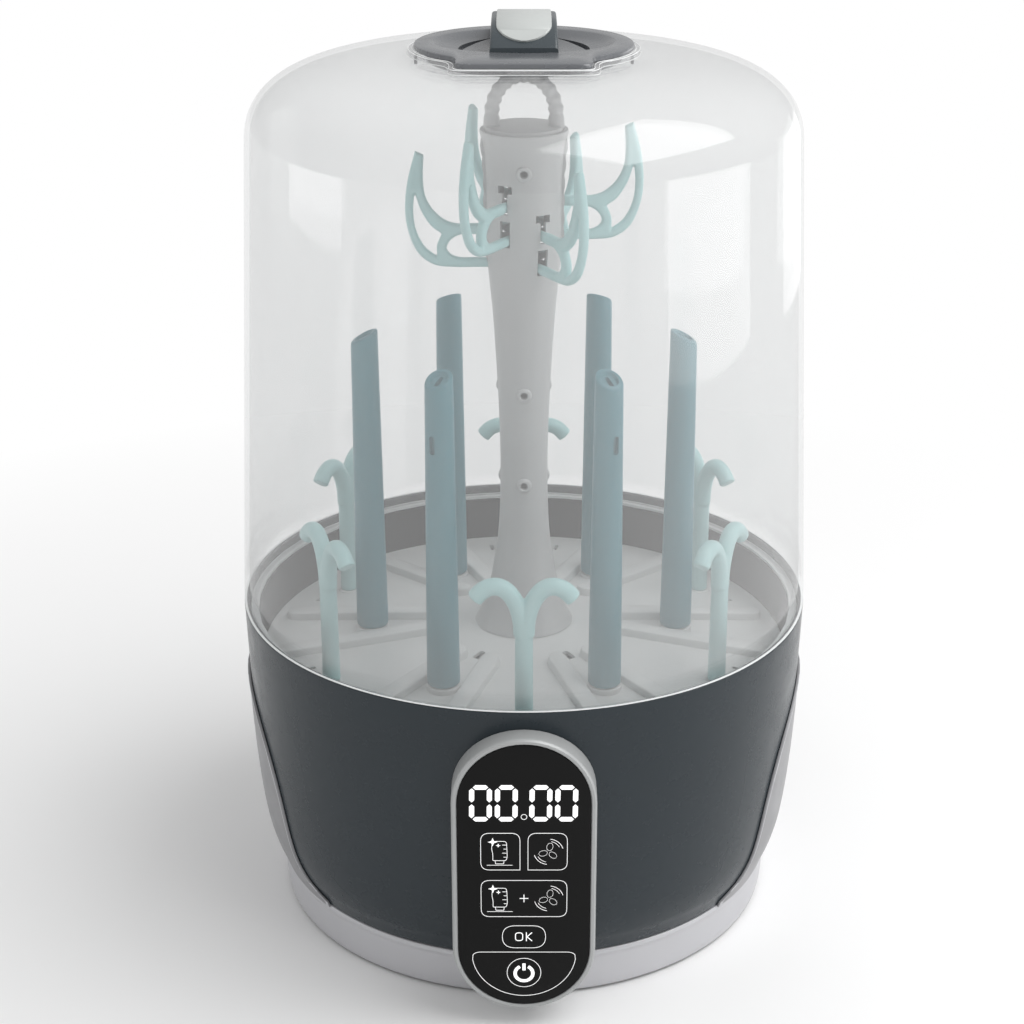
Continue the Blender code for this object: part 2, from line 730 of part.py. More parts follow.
def fan_impeller():
    """Wheel on the motor's shaft: hub, back disc and curved blades."""
    profile = [
        (0, 0.0436),
        (IMPELLER_R, 0.0436),
        (IMPELLER_R, 0.0424),
        (0.0095, 0.0424),
        (0.0080, 0.0275),
        (0.0018, 0.0275),
        (0.0018, 0.0340),
        (0, 0.0340),
    ]
    wheel = turned("fan_impeller", profile, "black_plastic", steps=MEDIUM, parent=FAN)
    blades = bmesh.new()
    line = [(lag, 0.019 + 0.0045 * step) for step, lag in enumerate((0.0, 0.10, 0.19, 0.28, 0.36))]
    for angle in around(BLADES):
        front = [(*spot(angle + lag, r), 0.0295) for lag, r in line]
        back = [(*spot(angle + lag + 0.0012 / r, r), 0.0295) for lag, r in reversed(line)]
        add_prism(blades, front + back, (0, 0, 0.0134))
    boolean(wheel, tool("fan_blades", finish(blades, "fan_blades"), FAN), "UNION")


def power_board():
    plate = box_mesh("power_board", (0.0550, -0.0300, 0.0200), (0.0950, 0.0300, 0.0216))
    board = place("power_board", plate, "board")
    parts = (
        ("relay", (0.0600, -0.0250, 0.0210), (0.0780, -0.0100, 0.0370)),
        ("transformer", (0.0600, -0.0040, 0.0210), (0.0800, 0.0180, 0.0400)),
    )
    for name, low, high in parts:
        boolean(board, tool(name, box_mesh(name, low, high)), "UNION")
    capacitor = cylinder_mesh("capacitor", 0.0055, 0.0210, 0.0420, (0.0880, 0.0), 12)
    boolean(board, tool("capacitor", capacitor), "UNION")


# ---------------------------------------------------------------- dome


def dome_shell():
    slope = (DOME_R - SHOULDER_R) / (SHOULDER_Z - DOME_RIM_Z)
    rise, reach = 0.025, 0.045
    lean = (SHOULDER_R - slope * rise, SHOULDER_Z + rise)
    crown = bezier((CROWN_R, CROWN_Z), (CROWN_R + reach, CROWN_Z), lean, (SHOULDER_R, SHOULDER_Z), 7)
    collar = [(COLLAR_R, COLLAR_Z), (COLLAR_R, CROWN_Z + 0.0004)]
    outer = collar + crown + [(DOME_R, 0.1640), (DOME_R, DOME_RIM_Z)]
    spigot_r = SPIGOT_R - 2 * GAP
    spigot = [(spigot_r, DOME_RIM_Z), (spigot_r, 0.1560), (0.1343, 0.1560), (0.1343, 0.1640)]
    inner = [(DOME_R - DOME_WALL, 0.1680)] + inset(crown, DOME_WALL)[::-1]
    top = [(DOME_HOLE_R, CROWN_Z - DOME_WALL), (DOME_HOLE_R, COLLAR_Z)]
    turned("dome_shell", outer + spigot + inner + top, "clear_plastic", parent=DOME)


def inset(points, distance):
    """The same line moved inwards: each point goes along the line's own normal."""
    made = []
    for index, (r, z) in enumerate(points):
        before, after = points[max(0, index - 1)], points[min(len(points) - 1, index + 1)]
        along = Vector((after[0] - before[0], after[1] - before[1])).normalized()
        made.append((r + along.y * distance, z - along.x * distance))
    return made


def vent_cap():
    """Round cap with a squared tab at the front, a shallow dish on top and clips below."""
    under = COLLAR_Z + GAP
    plug_r = DOME_HOLE_R - 0.0005
    profile = [
        (0, CAP_Z),
        (CAP_R - 0.0006, CAP_Z),
        (CAP_R, CAP_Z - 0.0006),
        (CAP_R, under),
        (plug_r, under),
        (plug_r, 0.4225),
        (0.0428, 0.4225),
        (0.0428, 0.4262),
        (0.0350, CAP_UNDER_Z),
        (0, CAP_UNDER_Z),
    ]
    cap = turned("vent_cap", profile, "cap_plastic", steps=36, parent=DOME)
    tab = box_mesh("cap_tab", (-TAB_HALF_WIDTH, TAB_FRONT, under), (TAB_HALF_WIDTH, -0.0400, CAP_Z))
    tab = tool("cap_tab", tab, DOME)
    round_edges(tab, 0.0006)
    boolean(cap, tab, "UNION")
    boolean(cap, cap_dish())
    clips = bmesh.new()
    hook = [
        (0.0430, 0.4240),
        (0.0450, 0.4240),
        (0.0450, 0.4222),
        (0.0478, 0.4222),
        (0.0450, 0.4190),
        (0.0430, 0.4190),
    ]
    for angle in around(4, 45):
        turn = Matrix.Rotation(angle, 4, "Z")
        add_prism(clips, [(-0.004, -r, z) for r, z in hook], (0.008, 0, 0), turn)
    boolean(cap, tool("cap_clips", finish(clips, "cap_clips"), DOME), "UNION")
    for name, side in (("vent_left", -1), ("vent_right", 1)):
        arc = [(*spot(math.radians(90 * side + a), 0.0265), 0.0) for a in range(-36, 37, 12)]
        slot = tube_mesh(name, arc, 0.0024, 1)
        slot.transform(Matrix.Translation((0, 0, 0.4260)) @ Matrix.Diagonal((1, 1, 3, 1)))
        boolean(cap, tool(name, slot, DOME))


def cap_dish():
    """Cutter for the cap's oval dish, which leaves a pad under each foot of the handle."""
    front, back = DISH_SPAN
    stretch = (back - front) / 2 / DISH_R
    mesh = cylinder_mesh("dish", 0.0345, 0.4268, CAP_Z + 0.0008, steps=36, top_radius=DISH_R + 0.0014)
    mesh.transform(Matrix.Translation((0, (front + back) / 2, 0)) @ Matrix.Diagonal((1, stretch, 1, 1)))
    dish = tool("dish", mesh, DOME)
    for name, way in (("pad_front", -1), ("pad_back", 1)):
        inner = HANDLE_MIDDLE_Y + way * HANDLE_REACH * (FOOT_SHARE - 0.03)
        outer = HANDLE_MIDDLE_Y + way * HANDLE_REACH * 1.5
        low, high = min(inner, outer), max(inner, outer)
        half = HANDLE_HALF_WIDTH + 0.0004
        boolean(dish, tool(name, box_mesh(name, (-half, low, 0.42), (half, high, 0.44)), DOME))
    return dish


def handle_line(lift, shrink=1.0):
    """The strap's line over the cap, moved up by lift and pulled in lengthwise by shrink."""
    return [
        (
            HANDLE_MIDDLE_Y + HANDLE_REACH * shrink * share,
            CAP_Z + GAP + lift + HANDLE_RISE * (1 - abs(share) ** 3),
        )
        for share in (-1, -0.92, -0.80, -0.60, -0.30, 0, 0.30, 0.60, 0.80, 0.92, 1)
    ]


def handle():
    """Bridge strap from front to back over the cap, with a light plate on top."""
    top = handle_line(0.0016)
    under = handle_line(-0.0024, 0.84)
    foot = CAP_Z + GAP
    front, back = HANDLE_MIDDLE_Y - HANDLE_REACH, HANDLE_MIDDLE_Y + HANDLE_REACH
    inner = HANDLE_REACH * FOOT_SHARE
    outline = [(front, foot)] + top[1:-1] + [(back, foot), (HANDLE_MIDDLE_Y + inner, foot)]
    outline += under[-3:1:-1] + [(HANDLE_MIDDLE_Y - inner, foot)]
    bm = bmesh.new()
    add_prism(bm, [(-HANDLE_HALF_WIDTH, y, z) for y, z in outline], (2 * HANDLE_HALF_WIDTH, 0, 0))
    strap = place("handle", finish(bm, "handle"), "cap_plastic", DOME)
    round_edges(strap, 0.0008, 2)
    plate = bmesh.new()
    stretch = top[2:-2]
    for y, z in stretch:
        for x in (-INLAY_HALF_WIDTH, INLAY_HALF_WIDTH):
            plate.verts.new((x, y, z + GAP))
    plate.verts.ensure_lookup_table()
    for row in range(len(stretch) - 1):
        first = 2 * row
        plate.faces.new([plate.verts[first + k] for k in (0, 1, 3, 2)])
    inlay = place("handle_inlay", finish(plate, "handle_inlay"), "light_plastic", DOME)
    upward = inlay.data.polygons[0].normal.z > 0
    solid = inlay.modifiers.new("thickness", "SOLIDIFY")
    solid.thickness = INLAY_THICK
    solid.offset = 1 if upward else -1


# ---------------------------------------------------------------- rack


def tray():
    thick = 0.0022
    profile = [
        (TRAY_MID_R, TRAY_MID_Z),
        (TRAY_EDGE_R, TRAY_EDGE_Z),
        (TRAY_R, TRAY_EDGE_Z),
        (TRAY_R, TRAY_LEDGE_Z + GAP),
        (TRAY_EDGE_R, TRAY_LEDGE_Z + GAP),
        (TRAY_EDGE_R - 0.001, TRAY_EDGE_Z - thick),
        (TRAY_MID_R, TRAY_MID_Z - thick),
        (0.0165, TRAY_MID_Z - thick),
        (0.0165, TRAY_MID_Z),
    ]
    disc = turned("tray", profile, "rack_plastic", parent=RACK)
    ribs = bmesh.new()
    seats = bmesh.new()
    slots = bmesh.new()
    slope = (TRAY_MID_Z - TRAY_EDGE_Z) / (TRAY_EDGE_R - TRAY_MID_R)
    middle = (RIB_IN + RIB_OUT) / 2
    height = TRAY_MID_Z - slope * (middle - TRAY_MID_R)
    along = Matrix.Translation((0, -middle, height)) @ Matrix.Rotation(math.atan(slope), 4, "X")
    for angle in around(6, 30):
        for spread in (-RIB_SPREAD, RIB_SPREAD):
            turn = Matrix.Rotation(angle + spread, 4, "Z")
            add_box(ribs, (RIB_WIDTH, RIB_OUT - RIB_IN, 2 * RIB_HEIGHT), turn @ along)
        add_cylinder(seats, 0.0090, 0.1350, SEAT_Z, spot(angle, POST_CIRCLE), 16)
        drain = Matrix.Rotation(angle, 4, "Z") @ Matrix.Translation((0, -0.0380, 0.138))
        add_box(slots, (0.0050, 0.0140, 0.0200), drain)
    boolean(disc, tool("tray_ribs", finish(ribs, "tray_ribs"), RACK), "UNION")
    boolean(disc, tool("tray_seats", finish(seats, "tray_seats"), RACK), "UNION")
    boolean(disc, tool("tray_slots", finish(slots, "tray_slots"), RACK))


def column():
    wall = COLUMN_WALL
    inner = [(r - wall, z) for r, z in reversed(COLUMN[1:])]
    foot = [(COLUMN[-1][0], TRAY_MID_Z + GAP), (COLUMN[-1][0] - wall, TRAY_MID_Z + GAP)]
    profile = COLUMN + foot + inner + [(COLUMN[1][0] - wall, COLUMN[0][1])]
    tower = turned("column", profile, "rack_plastic", steps=24, parent=RACK)
    nozzles = bmesh.new()
    for height in NOZZLE_HEIGHTS:
        for angle in around(3):
            add_rod(nozzles, NOZZLE_R, (*spot(angle, 0.0060), height), (*spot(angle, 0.0300), height), 6)
    boolean(tower, tool("nozzle_holes", finish(nozzles, "nozzle_holes"), RACK))
    slots = bmesh.new()
    for angle, height in hook_places():
        turn = Matrix.Rotation(angle, 4, "Z")
        for outline in keyhole(height):
            add_prism(slots, [(x, -0.0100, z) for x, z in outline], (0, -0.0200, 0), turn)
    boolean(tower, tool("keyholes", finish(slots, "keyholes"), RACK))


def keyhole(height):
    """Outlines that one hook needs: a window for its lower bar, and a T for its upper bar and lug."""
    narrow, wide = HOOK_THICK / 2 + GAP, LUG_HALF_WIDTH + GAP
    window_low, window_top = height - BAR_HALF - GAP, height + BAR_HALF + HOOK_TRAVEL + GAP
    low, top = height + UPPER_BAR[0] - GAP, height + UPPER_BAR[1] + HOOK_TRAVEL + GAP
    step = low + HOOK_TRAVEL
    window = [(-narrow, window_low), (narrow, window_low), (narrow, window_top), (-narrow, window_top)]
    right = [(narrow, low), (narrow, step), (wide, step), (wide, top)]
    return window, right + [(-x, z) for x, z in reversed(right)]


def hook_places():
    """Angle and height of each crown hook, alternately low and high, from the left front round."""
    return [(angle, HOOK_LOW if index % 2 else HOOK_HIGH) for index, angle in enumerate(around(6, -30))]


def column_loop():
    """Plug in the column's top, with the loop that the rack is carried by."""
    outer_right = [(0.0184, 0.3915), (0.0179, 0.3980), (0.0160, 0.4060), (0.0115, 0.4130), (0.0060, 0.4166)]
    inner_right = [(0.0104, 0.3935), (0.0104, 0.4000), (0.0085, 0.4070), (0.0045, 0.4105)]
    outer = outer_right + [(0, 0.4175)] + [(-x, z) for x, z in reversed(outer_right)]
    inner = inner_right + [(0, 0.4113)] + [(-x, z) for x, z in reversed(inner_right)]
    edge = [(x, z, "VECTOR" if z == 0.3915 else "AUTO") for x, z in outer]
    hole = [(x, z, "VECTOR" if z == 0.3935 else "AUTO") for x, z in inner]
    plug = (COLUMN[1][0] - COLUMN_WALL) - GAP
    profile = [(0, 0.3925), (plug - 0.0004, 0.3925), (plug - 0.0002, 0.3840), (0, 0.3840)]
    cap = turned("column_loop", profile, "rack_plastic", steps=28, parent=RACK)
    loop = tool("loop", upright(outline_mesh("loop", [edge, hole], 0.0080, 2)), RACK)
    round_edges(loop, 0.0014)
    boolean(cap, loop, "UNION")


def hook_mesh(name):
    """Crown hook in its own plane: X is the radius, Y the height over its lower bar's middle."""
    low, high = UPPER_BAR
    edge = hard([(HOOK_END_R, -BAR_HALF)]) + soft(
        [
            (0.0330, -BAR_HALF),
            (0.0425, -0.0012),
            (0.0502, 0.0045),
            (0.0547, 0.0150),
            (0.0560, 0.0262),
            (0.0546, 0.0390),
        ]
    )
    edge += hard([(0.0508, 0.0532), (0.0468, 0.0514)])
    edge += soft([(0.0473, 0.0405), (0.0465, 0.0325), (0.0432, 0.0258), (0.0378, 0.0208), (0.0320, high)])
    edge += hard([(HOOK_END_R, high), (HOOK_END_R, low)])
    edge += soft([(0.0300, low), (0.0345, 0.0110), (0.0366, 0.0070), (0.0345, 0.0038), (0.0300, BAR_HALF)])
    edge += hard([(HOOK_END_R, BAR_HALF)])
    hole = soft(
        [
            (0.0514, 0.0330),
            (0.0520, 0.0250),
            (0.0510, 0.0160),
            (0.0472, 0.0078),
            (0.0414, 0.0032),
            (0.0412, 0.0080),
            (0.0389, 0.0138),
            (0.0440, 0.0176),
            (0.0485, 0.0250),
        ]
    )
    return radial(outline_mesh(name, [edge, hole], HOOK_THICK, 1))


def crown_hooks():
    for number, (angle, height) in enumerate(hook_places(), 1):
        mesh = hook_mesh("crown_hook")
        hook = place(f"crown_hook_{number}", mesh, "aqua_plastic", RACK, (0, 0, height), angle)
        round_edges(hook, 0.0010)
        low, high = UPPER_BAR
        lug = box_mesh("hook_lug", (-LUG_HALF_WIDTH, -0.0155, low), (LUG_HALF_WIDTH, -0.0128, high))
        joined = tool(f"hook_lug_{number}", lug, RACK, angle)
        joined.location = (0, 0, height)
        boolean(hook, joined, "UNION")


def bottle_posts():
    """Hollow posts: closed slanted tops with a slot, and a second slot on the outer side."""
    low = SEAT_Z + GAP
    for number, angle in enumerate(around(6, 30), 1):
        x, y = spot(angle, POST_CIRCLE)
        outer = cylinder_mesh("post", POST_R_LOW, low, POST_TOP_Z + 0.01, steps=18, top_radius=POST_R_TOP)
        post = place(f"bottle_post_{number}", outer, "post_plastic", RACK, (x, y, 0), angle)
        middle = POST_TOP_Z - POST_R_TOP * math.tan(POST_CUT)
        tilt = Matrix.Translation((0, 0, middle)) @ Matrix.Rotation(POST_CUT, 4, "X")
        bm = bmesh.new()
        add_box(bm, (0.060, 0.060, 0.040), tilt @ Matrix.Translation((0, 0, 0.020)))
        add_post_tool(post, f"post_{number}_slant", finish(bm, "post_slant"), x, y, angle)
        low_r, top_r = POST_R_LOW - POST_WALL, POST_R_TOP - POST_WALL
        bore = cylinder_mesh("post_bore", low_r, low - 0.01, 0.2840, steps=14, top_radius=top_r)
        add_post_tool(post, f"post_{number}_bore", bore, x, y, angle)
        bm = bmesh.new()
        add_box(bm, (0.0018, 0.0060, 0.0300), Matrix.Translation((0, 0, 0.290)))
        add_box(bm, (0.0026, 0.0100, 0.0085), Matrix.Translation((0, -0.006, 0.262)))
        add_post_tool(post, f"post_{number}_slots", finish(bm, "post_slots"), x, y, angle)


def add_post_tool(post, name, mesh, x, y, angle):
    cutter = tool(name, mesh, RACK, angle)
    cutter.location = (x, y, 0)
    boolean(post, cutter)


def forks():
    """Y-shaped holders for teats and caps, their arms along the tray's edge."""
    slope = (TRAY_MID_Z - TRAY_EDGE_Z) / (TRAY_EDGE_R - TRAY_MID_R)
    base = TRAY_MID_Z - slope * (FORK_CIRCLE - FORK_R - TRAY_MID_R) + GAP
    right = [
        (0.0040, 0.1985),
        (0.0080, 0.2045),
        (0.0130, 0.2070),
        (0.0182, 0.2056),
        (0.0212, 0.2028),
        (0.0232, 0.1999),
    ]
    arms = [(-x, 0, z) for x, z in reversed(right)] + [(0, 0, 0.1900)] + [(x, 0, z) for x, z in right]
    for number, angle in enumerate(around(6), 1):
        x, y = spot(angle, FORK_CIRCLE)
        stem = cylinder_mesh("fork", FORK_R, base, FORK_SPLIT_Z + 0.0045, steps=12, top_radius=FORK_R * 0.92)
        fork = place(f"fork_{number}", stem, "aqua_plastic", RACK, (x, y, 0), angle)
        cutter = tool(f"fork_{number}_arms", tube_mesh("fork_arms", arms, 0.0039, 1), RACK, angle)
        cutter.location = (x, y, 0)
        boolean(fork, cutter, "UNION")


# ---------------------------------------------------------------- assembly

clear_scene()
PARTS = collection(NAME)
TOOLS = collection(NAME + "_tools")
MATERIALS = make_materials()
BASE = empty("base_axis", location=(0, AXIS_Y, 0))
DOME = empty("dome_axis", BASE)
RACK = empty("rack_axis", BASE)
FAN = empty("fan_axis", BASE)
FILTER = empty("filter_axis", BASE)

outer_shell()
inner_tub()
rim_seal()
base_ring()
bottom_cover()
feet_and_screws()
side_trims()
panel()
filter_cover()
power_inlet()
heating_plate()
air_path()
fan_impeller()
power_board()
dome_shell()
vent_cap()
handle()
tray()
column()
column_loop()
crown_hooks()
bottle_posts()
forks()

for part in PARTS.objects:
    shade(part)
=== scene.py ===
"""Looks of the bottle sterilizer: fine meshes, materials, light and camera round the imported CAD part.

Metres, in the row frame: +Z up, the control panel towards -Y. Angles are counted from the front, growing
towards +X. Turned pieces are drawn as (radius, height) and stand on the shared axis at y = AXIS_Y.
"""

import json
import math

import bmesh
import bpy
from mathutils import Matrix, Vector


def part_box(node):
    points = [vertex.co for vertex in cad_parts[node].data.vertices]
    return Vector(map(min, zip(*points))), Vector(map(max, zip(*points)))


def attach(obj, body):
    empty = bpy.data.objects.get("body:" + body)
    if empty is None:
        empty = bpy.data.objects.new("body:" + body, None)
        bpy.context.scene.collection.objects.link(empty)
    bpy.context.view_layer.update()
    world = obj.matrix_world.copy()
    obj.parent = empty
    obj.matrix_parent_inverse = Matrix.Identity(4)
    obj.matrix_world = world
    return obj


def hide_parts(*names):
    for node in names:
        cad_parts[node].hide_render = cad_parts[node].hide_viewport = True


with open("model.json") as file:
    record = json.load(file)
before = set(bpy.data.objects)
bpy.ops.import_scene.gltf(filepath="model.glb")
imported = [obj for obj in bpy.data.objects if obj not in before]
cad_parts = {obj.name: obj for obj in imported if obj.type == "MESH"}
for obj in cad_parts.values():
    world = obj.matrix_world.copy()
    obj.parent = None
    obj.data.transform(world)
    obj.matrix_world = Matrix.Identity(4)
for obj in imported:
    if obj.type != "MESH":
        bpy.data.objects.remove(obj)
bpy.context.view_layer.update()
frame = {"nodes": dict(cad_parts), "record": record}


def low(node):
    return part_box(node)[0]


def high(node):
    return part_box(node)[1]


# ---------------------------------------------------------------- places taken from the frame

AXIS_Y = (low("dome_shell").y + high("dome_shell").y) / 2
RIM_R = high("outer_shell").x
RIM_Z = high("outer_shell").z
DOME_R = high("dome_shell").x
COLLAR_Z = high("dome_shell").z
CAP_R = high("vent_cap").x
CAP_Z = high("vent_cap").z
CAP_FRONT = low("vent_cap").y - AXIS_Y
HANDLE_HALF = high("handle").x
INLAY_HALF = high("handle_inlay").x
PANEL_FRONT = low("panel_frame").y - AXIS_Y
PANEL_LOW, PANEL_TOP = low("panel_frame").z, high("panel_frame").z
PANEL_HALF = high("panel_frame").x
GLASS_HALF = high("panel_glass").x
TRAY_R = high("tray").x
COLUMN_LOW, COLUMN_TOP = low("column").z, high("column").z
POST_LOW, POST_TOP = low("bottle_post_1").z, high("bottle_post_1").z
FORK_LOW = low("fork_1").z
TRIM_LOW, TRIM_TOP = low("side_trim_right").z, high("side_trim_right").z

GAP = 0.0003  # between neighbouring pieces
POST_CIRCLE = 0.0771
FORK_CIRCLE = 0.1080
POST_ANGLES = [30 + 60 * i for i in range(6)]
FORK_ANGLES = [60 * i for i in range(6)]
HOOK_ANGLES = [-30 + 60 * i for i in range(6)]
HOOK_HEIGHTS = [low(f"crown_hook_{i}").z for i in range(1, 7)]  # underside of each hook's lower bar
BAR = 0.0048  # thickness of a crown hook's bars

STEPS = 160  # round the large turned pieces
FINE_STEPS = 192  # round the pieces whose outline shows

LOOK = bpy.data.collections.new("look")
bpy.context.scene.collection.children.link(LOOK)

# ---------------------------------------------------------------- materials

FINISH = "finish_"  # keeps the names apart from the frame's own materials
CLEAR_VEIL, CLEAR_EDGE = 0.135, 0.46  # haze of a clear surface seen square on, and edge on
CLEAR_MIRROR, CLEAR_MIRROR_EDGE = 0.028, 0.25  # how much of the room it mirrors, square on and edge on
RIM_VEIL, RIM_FADE = 0.25, 0.008  # share of the haze left at the rim, and how far up it is full again


class Shading:
    """A Principled material with its node helpers."""

    def __init__(self, name, colour, rough, metallic=0.0, coat=0.0, specular=0.5):
        self.material = bpy.data.materials.new(FINISH + name)
        self.material.use_nodes = True
        self.tree = self.material.node_tree
        self.shader = self.tree.nodes["Principled BSDF"]
        self.shader.inputs["Metallic"].default_value = metallic
        self.shader.inputs["Coat Weight"].default_value = coat
        self.shader.inputs["Coat Roughness"].default_value = 0.08
        self.shader.inputs["Specular IOR Level"].default_value = specular
        self.place = self.node("TexCoord").outputs["Object"]
        self.colour, self.rough = colour, rough

    def node(self, kind, **inputs):
        made = self.tree.nodes.new("ShaderNode" + kind)
        for key, value in inputs.items():
            made.inputs[key.replace("_", " ")].default_value = value
        return made

    def link(self, out, socket):
        self.tree.links.new(out, socket)

    def noise(self, scale, detail=3.0, stretch=(1, 1, 1)):
        mapping = self.node("Mapping", Scale=stretch)
        self.link(self.place, mapping.inputs["Vector"])
        noise = self.node("TexNoise", Scale=scale, Detail=detail, Roughness=0.55)
        self.link(mapping.outputs["Vector"], noise.inputs["Vector"])
        return noise.outputs["Fac"]

    def ranged(self, value, start, end, first=0.3, last=0.7):
        """start to end as the value goes from first to last. A noise stays within 0.3 and 0.7."""
        node = self.node("MapRange", From_Min=first, From_Max=last, To_Min=start, To_Max=end)
        self.link(value, node.inputs["Value"])
        return node.outputs["Result"]

    def facing(self, blend_value):
        """0 where a surface is seen square on, 1 where it is seen edge on."""
        return self.node("LayerWeight", Blend=blend_value).outputs["Facing"]

    def maths(self, operation, value, other):
        """other is a socket or a plain number."""
        node = self.node("Math")
        node.operation = operation
        self.link(value, node.inputs[0])
        if isinstance(other, float):
            node.inputs[1].default_value = other
        else:
            self.link(other, node.inputs[1])
        return node.outputs["Value"]

    def mixed(self, share, one, two):
        mix = self.node("MixShader")
        self.link(share, mix.inputs["Fac"])
        self.link(one, mix.inputs[1])
        self.link(two, mix.inputs[2])
        return mix.outputs["Shader"]

    def surface(self, out):
        self.link(out, self.tree.nodes["Material Output"].inputs["Surface"])

    def tint(self, fac, amount):
        """Colour that wanders a little lighter and darker."""
        mix = self.tree.nodes.new("ShaderNodeMix")
        mix.data_type = "RGBA"
        mix.inputs["A"].default_value = (*[c * (1 - amount) for c in self.colour], 1)
        mix.inputs["B"].default_value = (*[min(1.0, c * (1 + amount)) for c in self.colour], 1)
        self.link(self.ranged(fac, 0, 1), mix.inputs["Factor"])
        self.link(mix.outputs["Result"], self.shader.inputs["Base Color"])
        return mix

    def roughen(self, fac, spread):
        out = self.ranged(fac, self.rough * (1 - spread), min(1.0, self.rough * (1 + spread)))
        self.link(out, self.shader.inputs["Roughness"])

    def bump(self, fac, strength, distance):
        bump = self.node("Bump", Strength=strength, Distance=distance)
        self.link(fac, bump.inputs["Height"])
        self.link(bump.outputs["Normal"], self.shader.inputs["Normal"])


def moulded(name, colour, rough, grain=1400.0, depth=0.00003, mottle=0.035, spread=0.18, **more):
    """Moulded plastic: faint clouding, uneven gloss, fine grain."""
    made = Shading(name, colour, rough, **more)
    made.tint(made.noise(14.0), mottle)
    made.roughen(made.noise(90.0, 4.0), spread)
    made.bump(made.noise(grain, 2.0), 0.25, depth)
    return made.material


def silver(name, colour):
    """Satin silver paint with a fine metallic fleck."""
    made = Shading(name, colour, 0.40, metallic=0.2)
    made.tint(made.noise(18.0, 2.0), 0.02)
    made.roughen(made.noise(60.0, 4.0), 0.15)
    made.bump(made.noise(1500.0, 2.0), 0.05, 0.00001)
    return made.material


def brushed(name):
    """Steel brushed round and round."""
    made = Shading(name, (0.60, 0.60, 0.60), 0.28, metallic=1.0)
    made.tint(made.noise(60.0, 5.0, (1, 1, 30)), 0.06)
    made.roughen(made.noise(300.0, 5.0, (1, 1, 12)), 0.25)
    made.bump(made.noise(700.0, 4.0, (1, 1, 14)), 0.2, 0.00002)
    return made.material


def clear(name):
    """Clear plastic wall: a thin haze that thickens where the wall is seen edge on, under a faint mirror."""
    made = Shading(name, (0.74, 0.74, 0.74), 0.10, specular=0.6)
    made.tint(made.noise(5.0, 2.0), 0.04)
    made.roughen(made.noise(40.0, 3.0), 0.25)
    made.bump(made.noise(30.0, 2.0), 0.05, 0.0002)
    veil = made.ranged(made.facing(0.10), CLEAR_VEIL, CLEAR_EDGE, 0.0, 1.0)
    height = made.node("SeparateXYZ")
    made.link(made.place, height.inputs["Vector"])
    above_rim = made.ranged(height.outputs["Z"], RIM_VEIL, 1.0, RIM_Z, RIM_Z + RIM_FADE)
    through = made.node("BsdfTransparent", Color=(0.985, 0.987, 0.988, 1))
    share = made.maths("MULTIPLY", veil, above_rim)
    hazy = made.mixed(share, through.outputs["BSDF"], made.shader.outputs["BSDF"])
    steep = made.maths("POWER", made.facing(0.5), 5.0)
    mirrored = made.ranged(steep, CLEAR_MIRROR, CLEAR_MIRROR_EDGE, 0.0, 1.0)
    made.surface(made.mixed(mirrored, hazy, made.node("BsdfGlossy", Roughness=0.05).outputs["BSDF"]))
    return made.material


def lit(name, strength):
    """White print and display segments, a little brighter than paint."""
    made = Shading(name, (0.85, 0.85, 0.85), 0.4)
    made.tint(made.noise(400.0), 0.03)
    made.roughen(made.noise(200.0), 0.15)
    made.shader.inputs["Emission Color"].default_value = (1, 1, 1, 1)
    made.shader.inputs["Emission Strength"].default_value = strength
    return made.material


def felt(name):
    """Fibrous filter pad."""
    made = Shading(name, (0.78, 0.78, 0.76), 0.95)
    made.tint(made.noise(500.0, 6.0), 0.12)
    made.roughen(made.noise(300.0), 0.05)
    made.bump(made.noise(900.0, 6.0), 0.8, 0.0003)
    return made.material


def board(name):
    """Solder mask over copper tracks."""
    made = Shading(name, (0.03, 0.16, 0.07), 0.45)
    made.tint(made.noise(180.0, 1.0, (1, 6, 1)), 0.25)
    made.roughen(made.noise(200.0), 0.2)
    made.bump(made.noise(180.0, 1.0, (1, 6, 1)), 0.3, 0.0001)
    return made.material


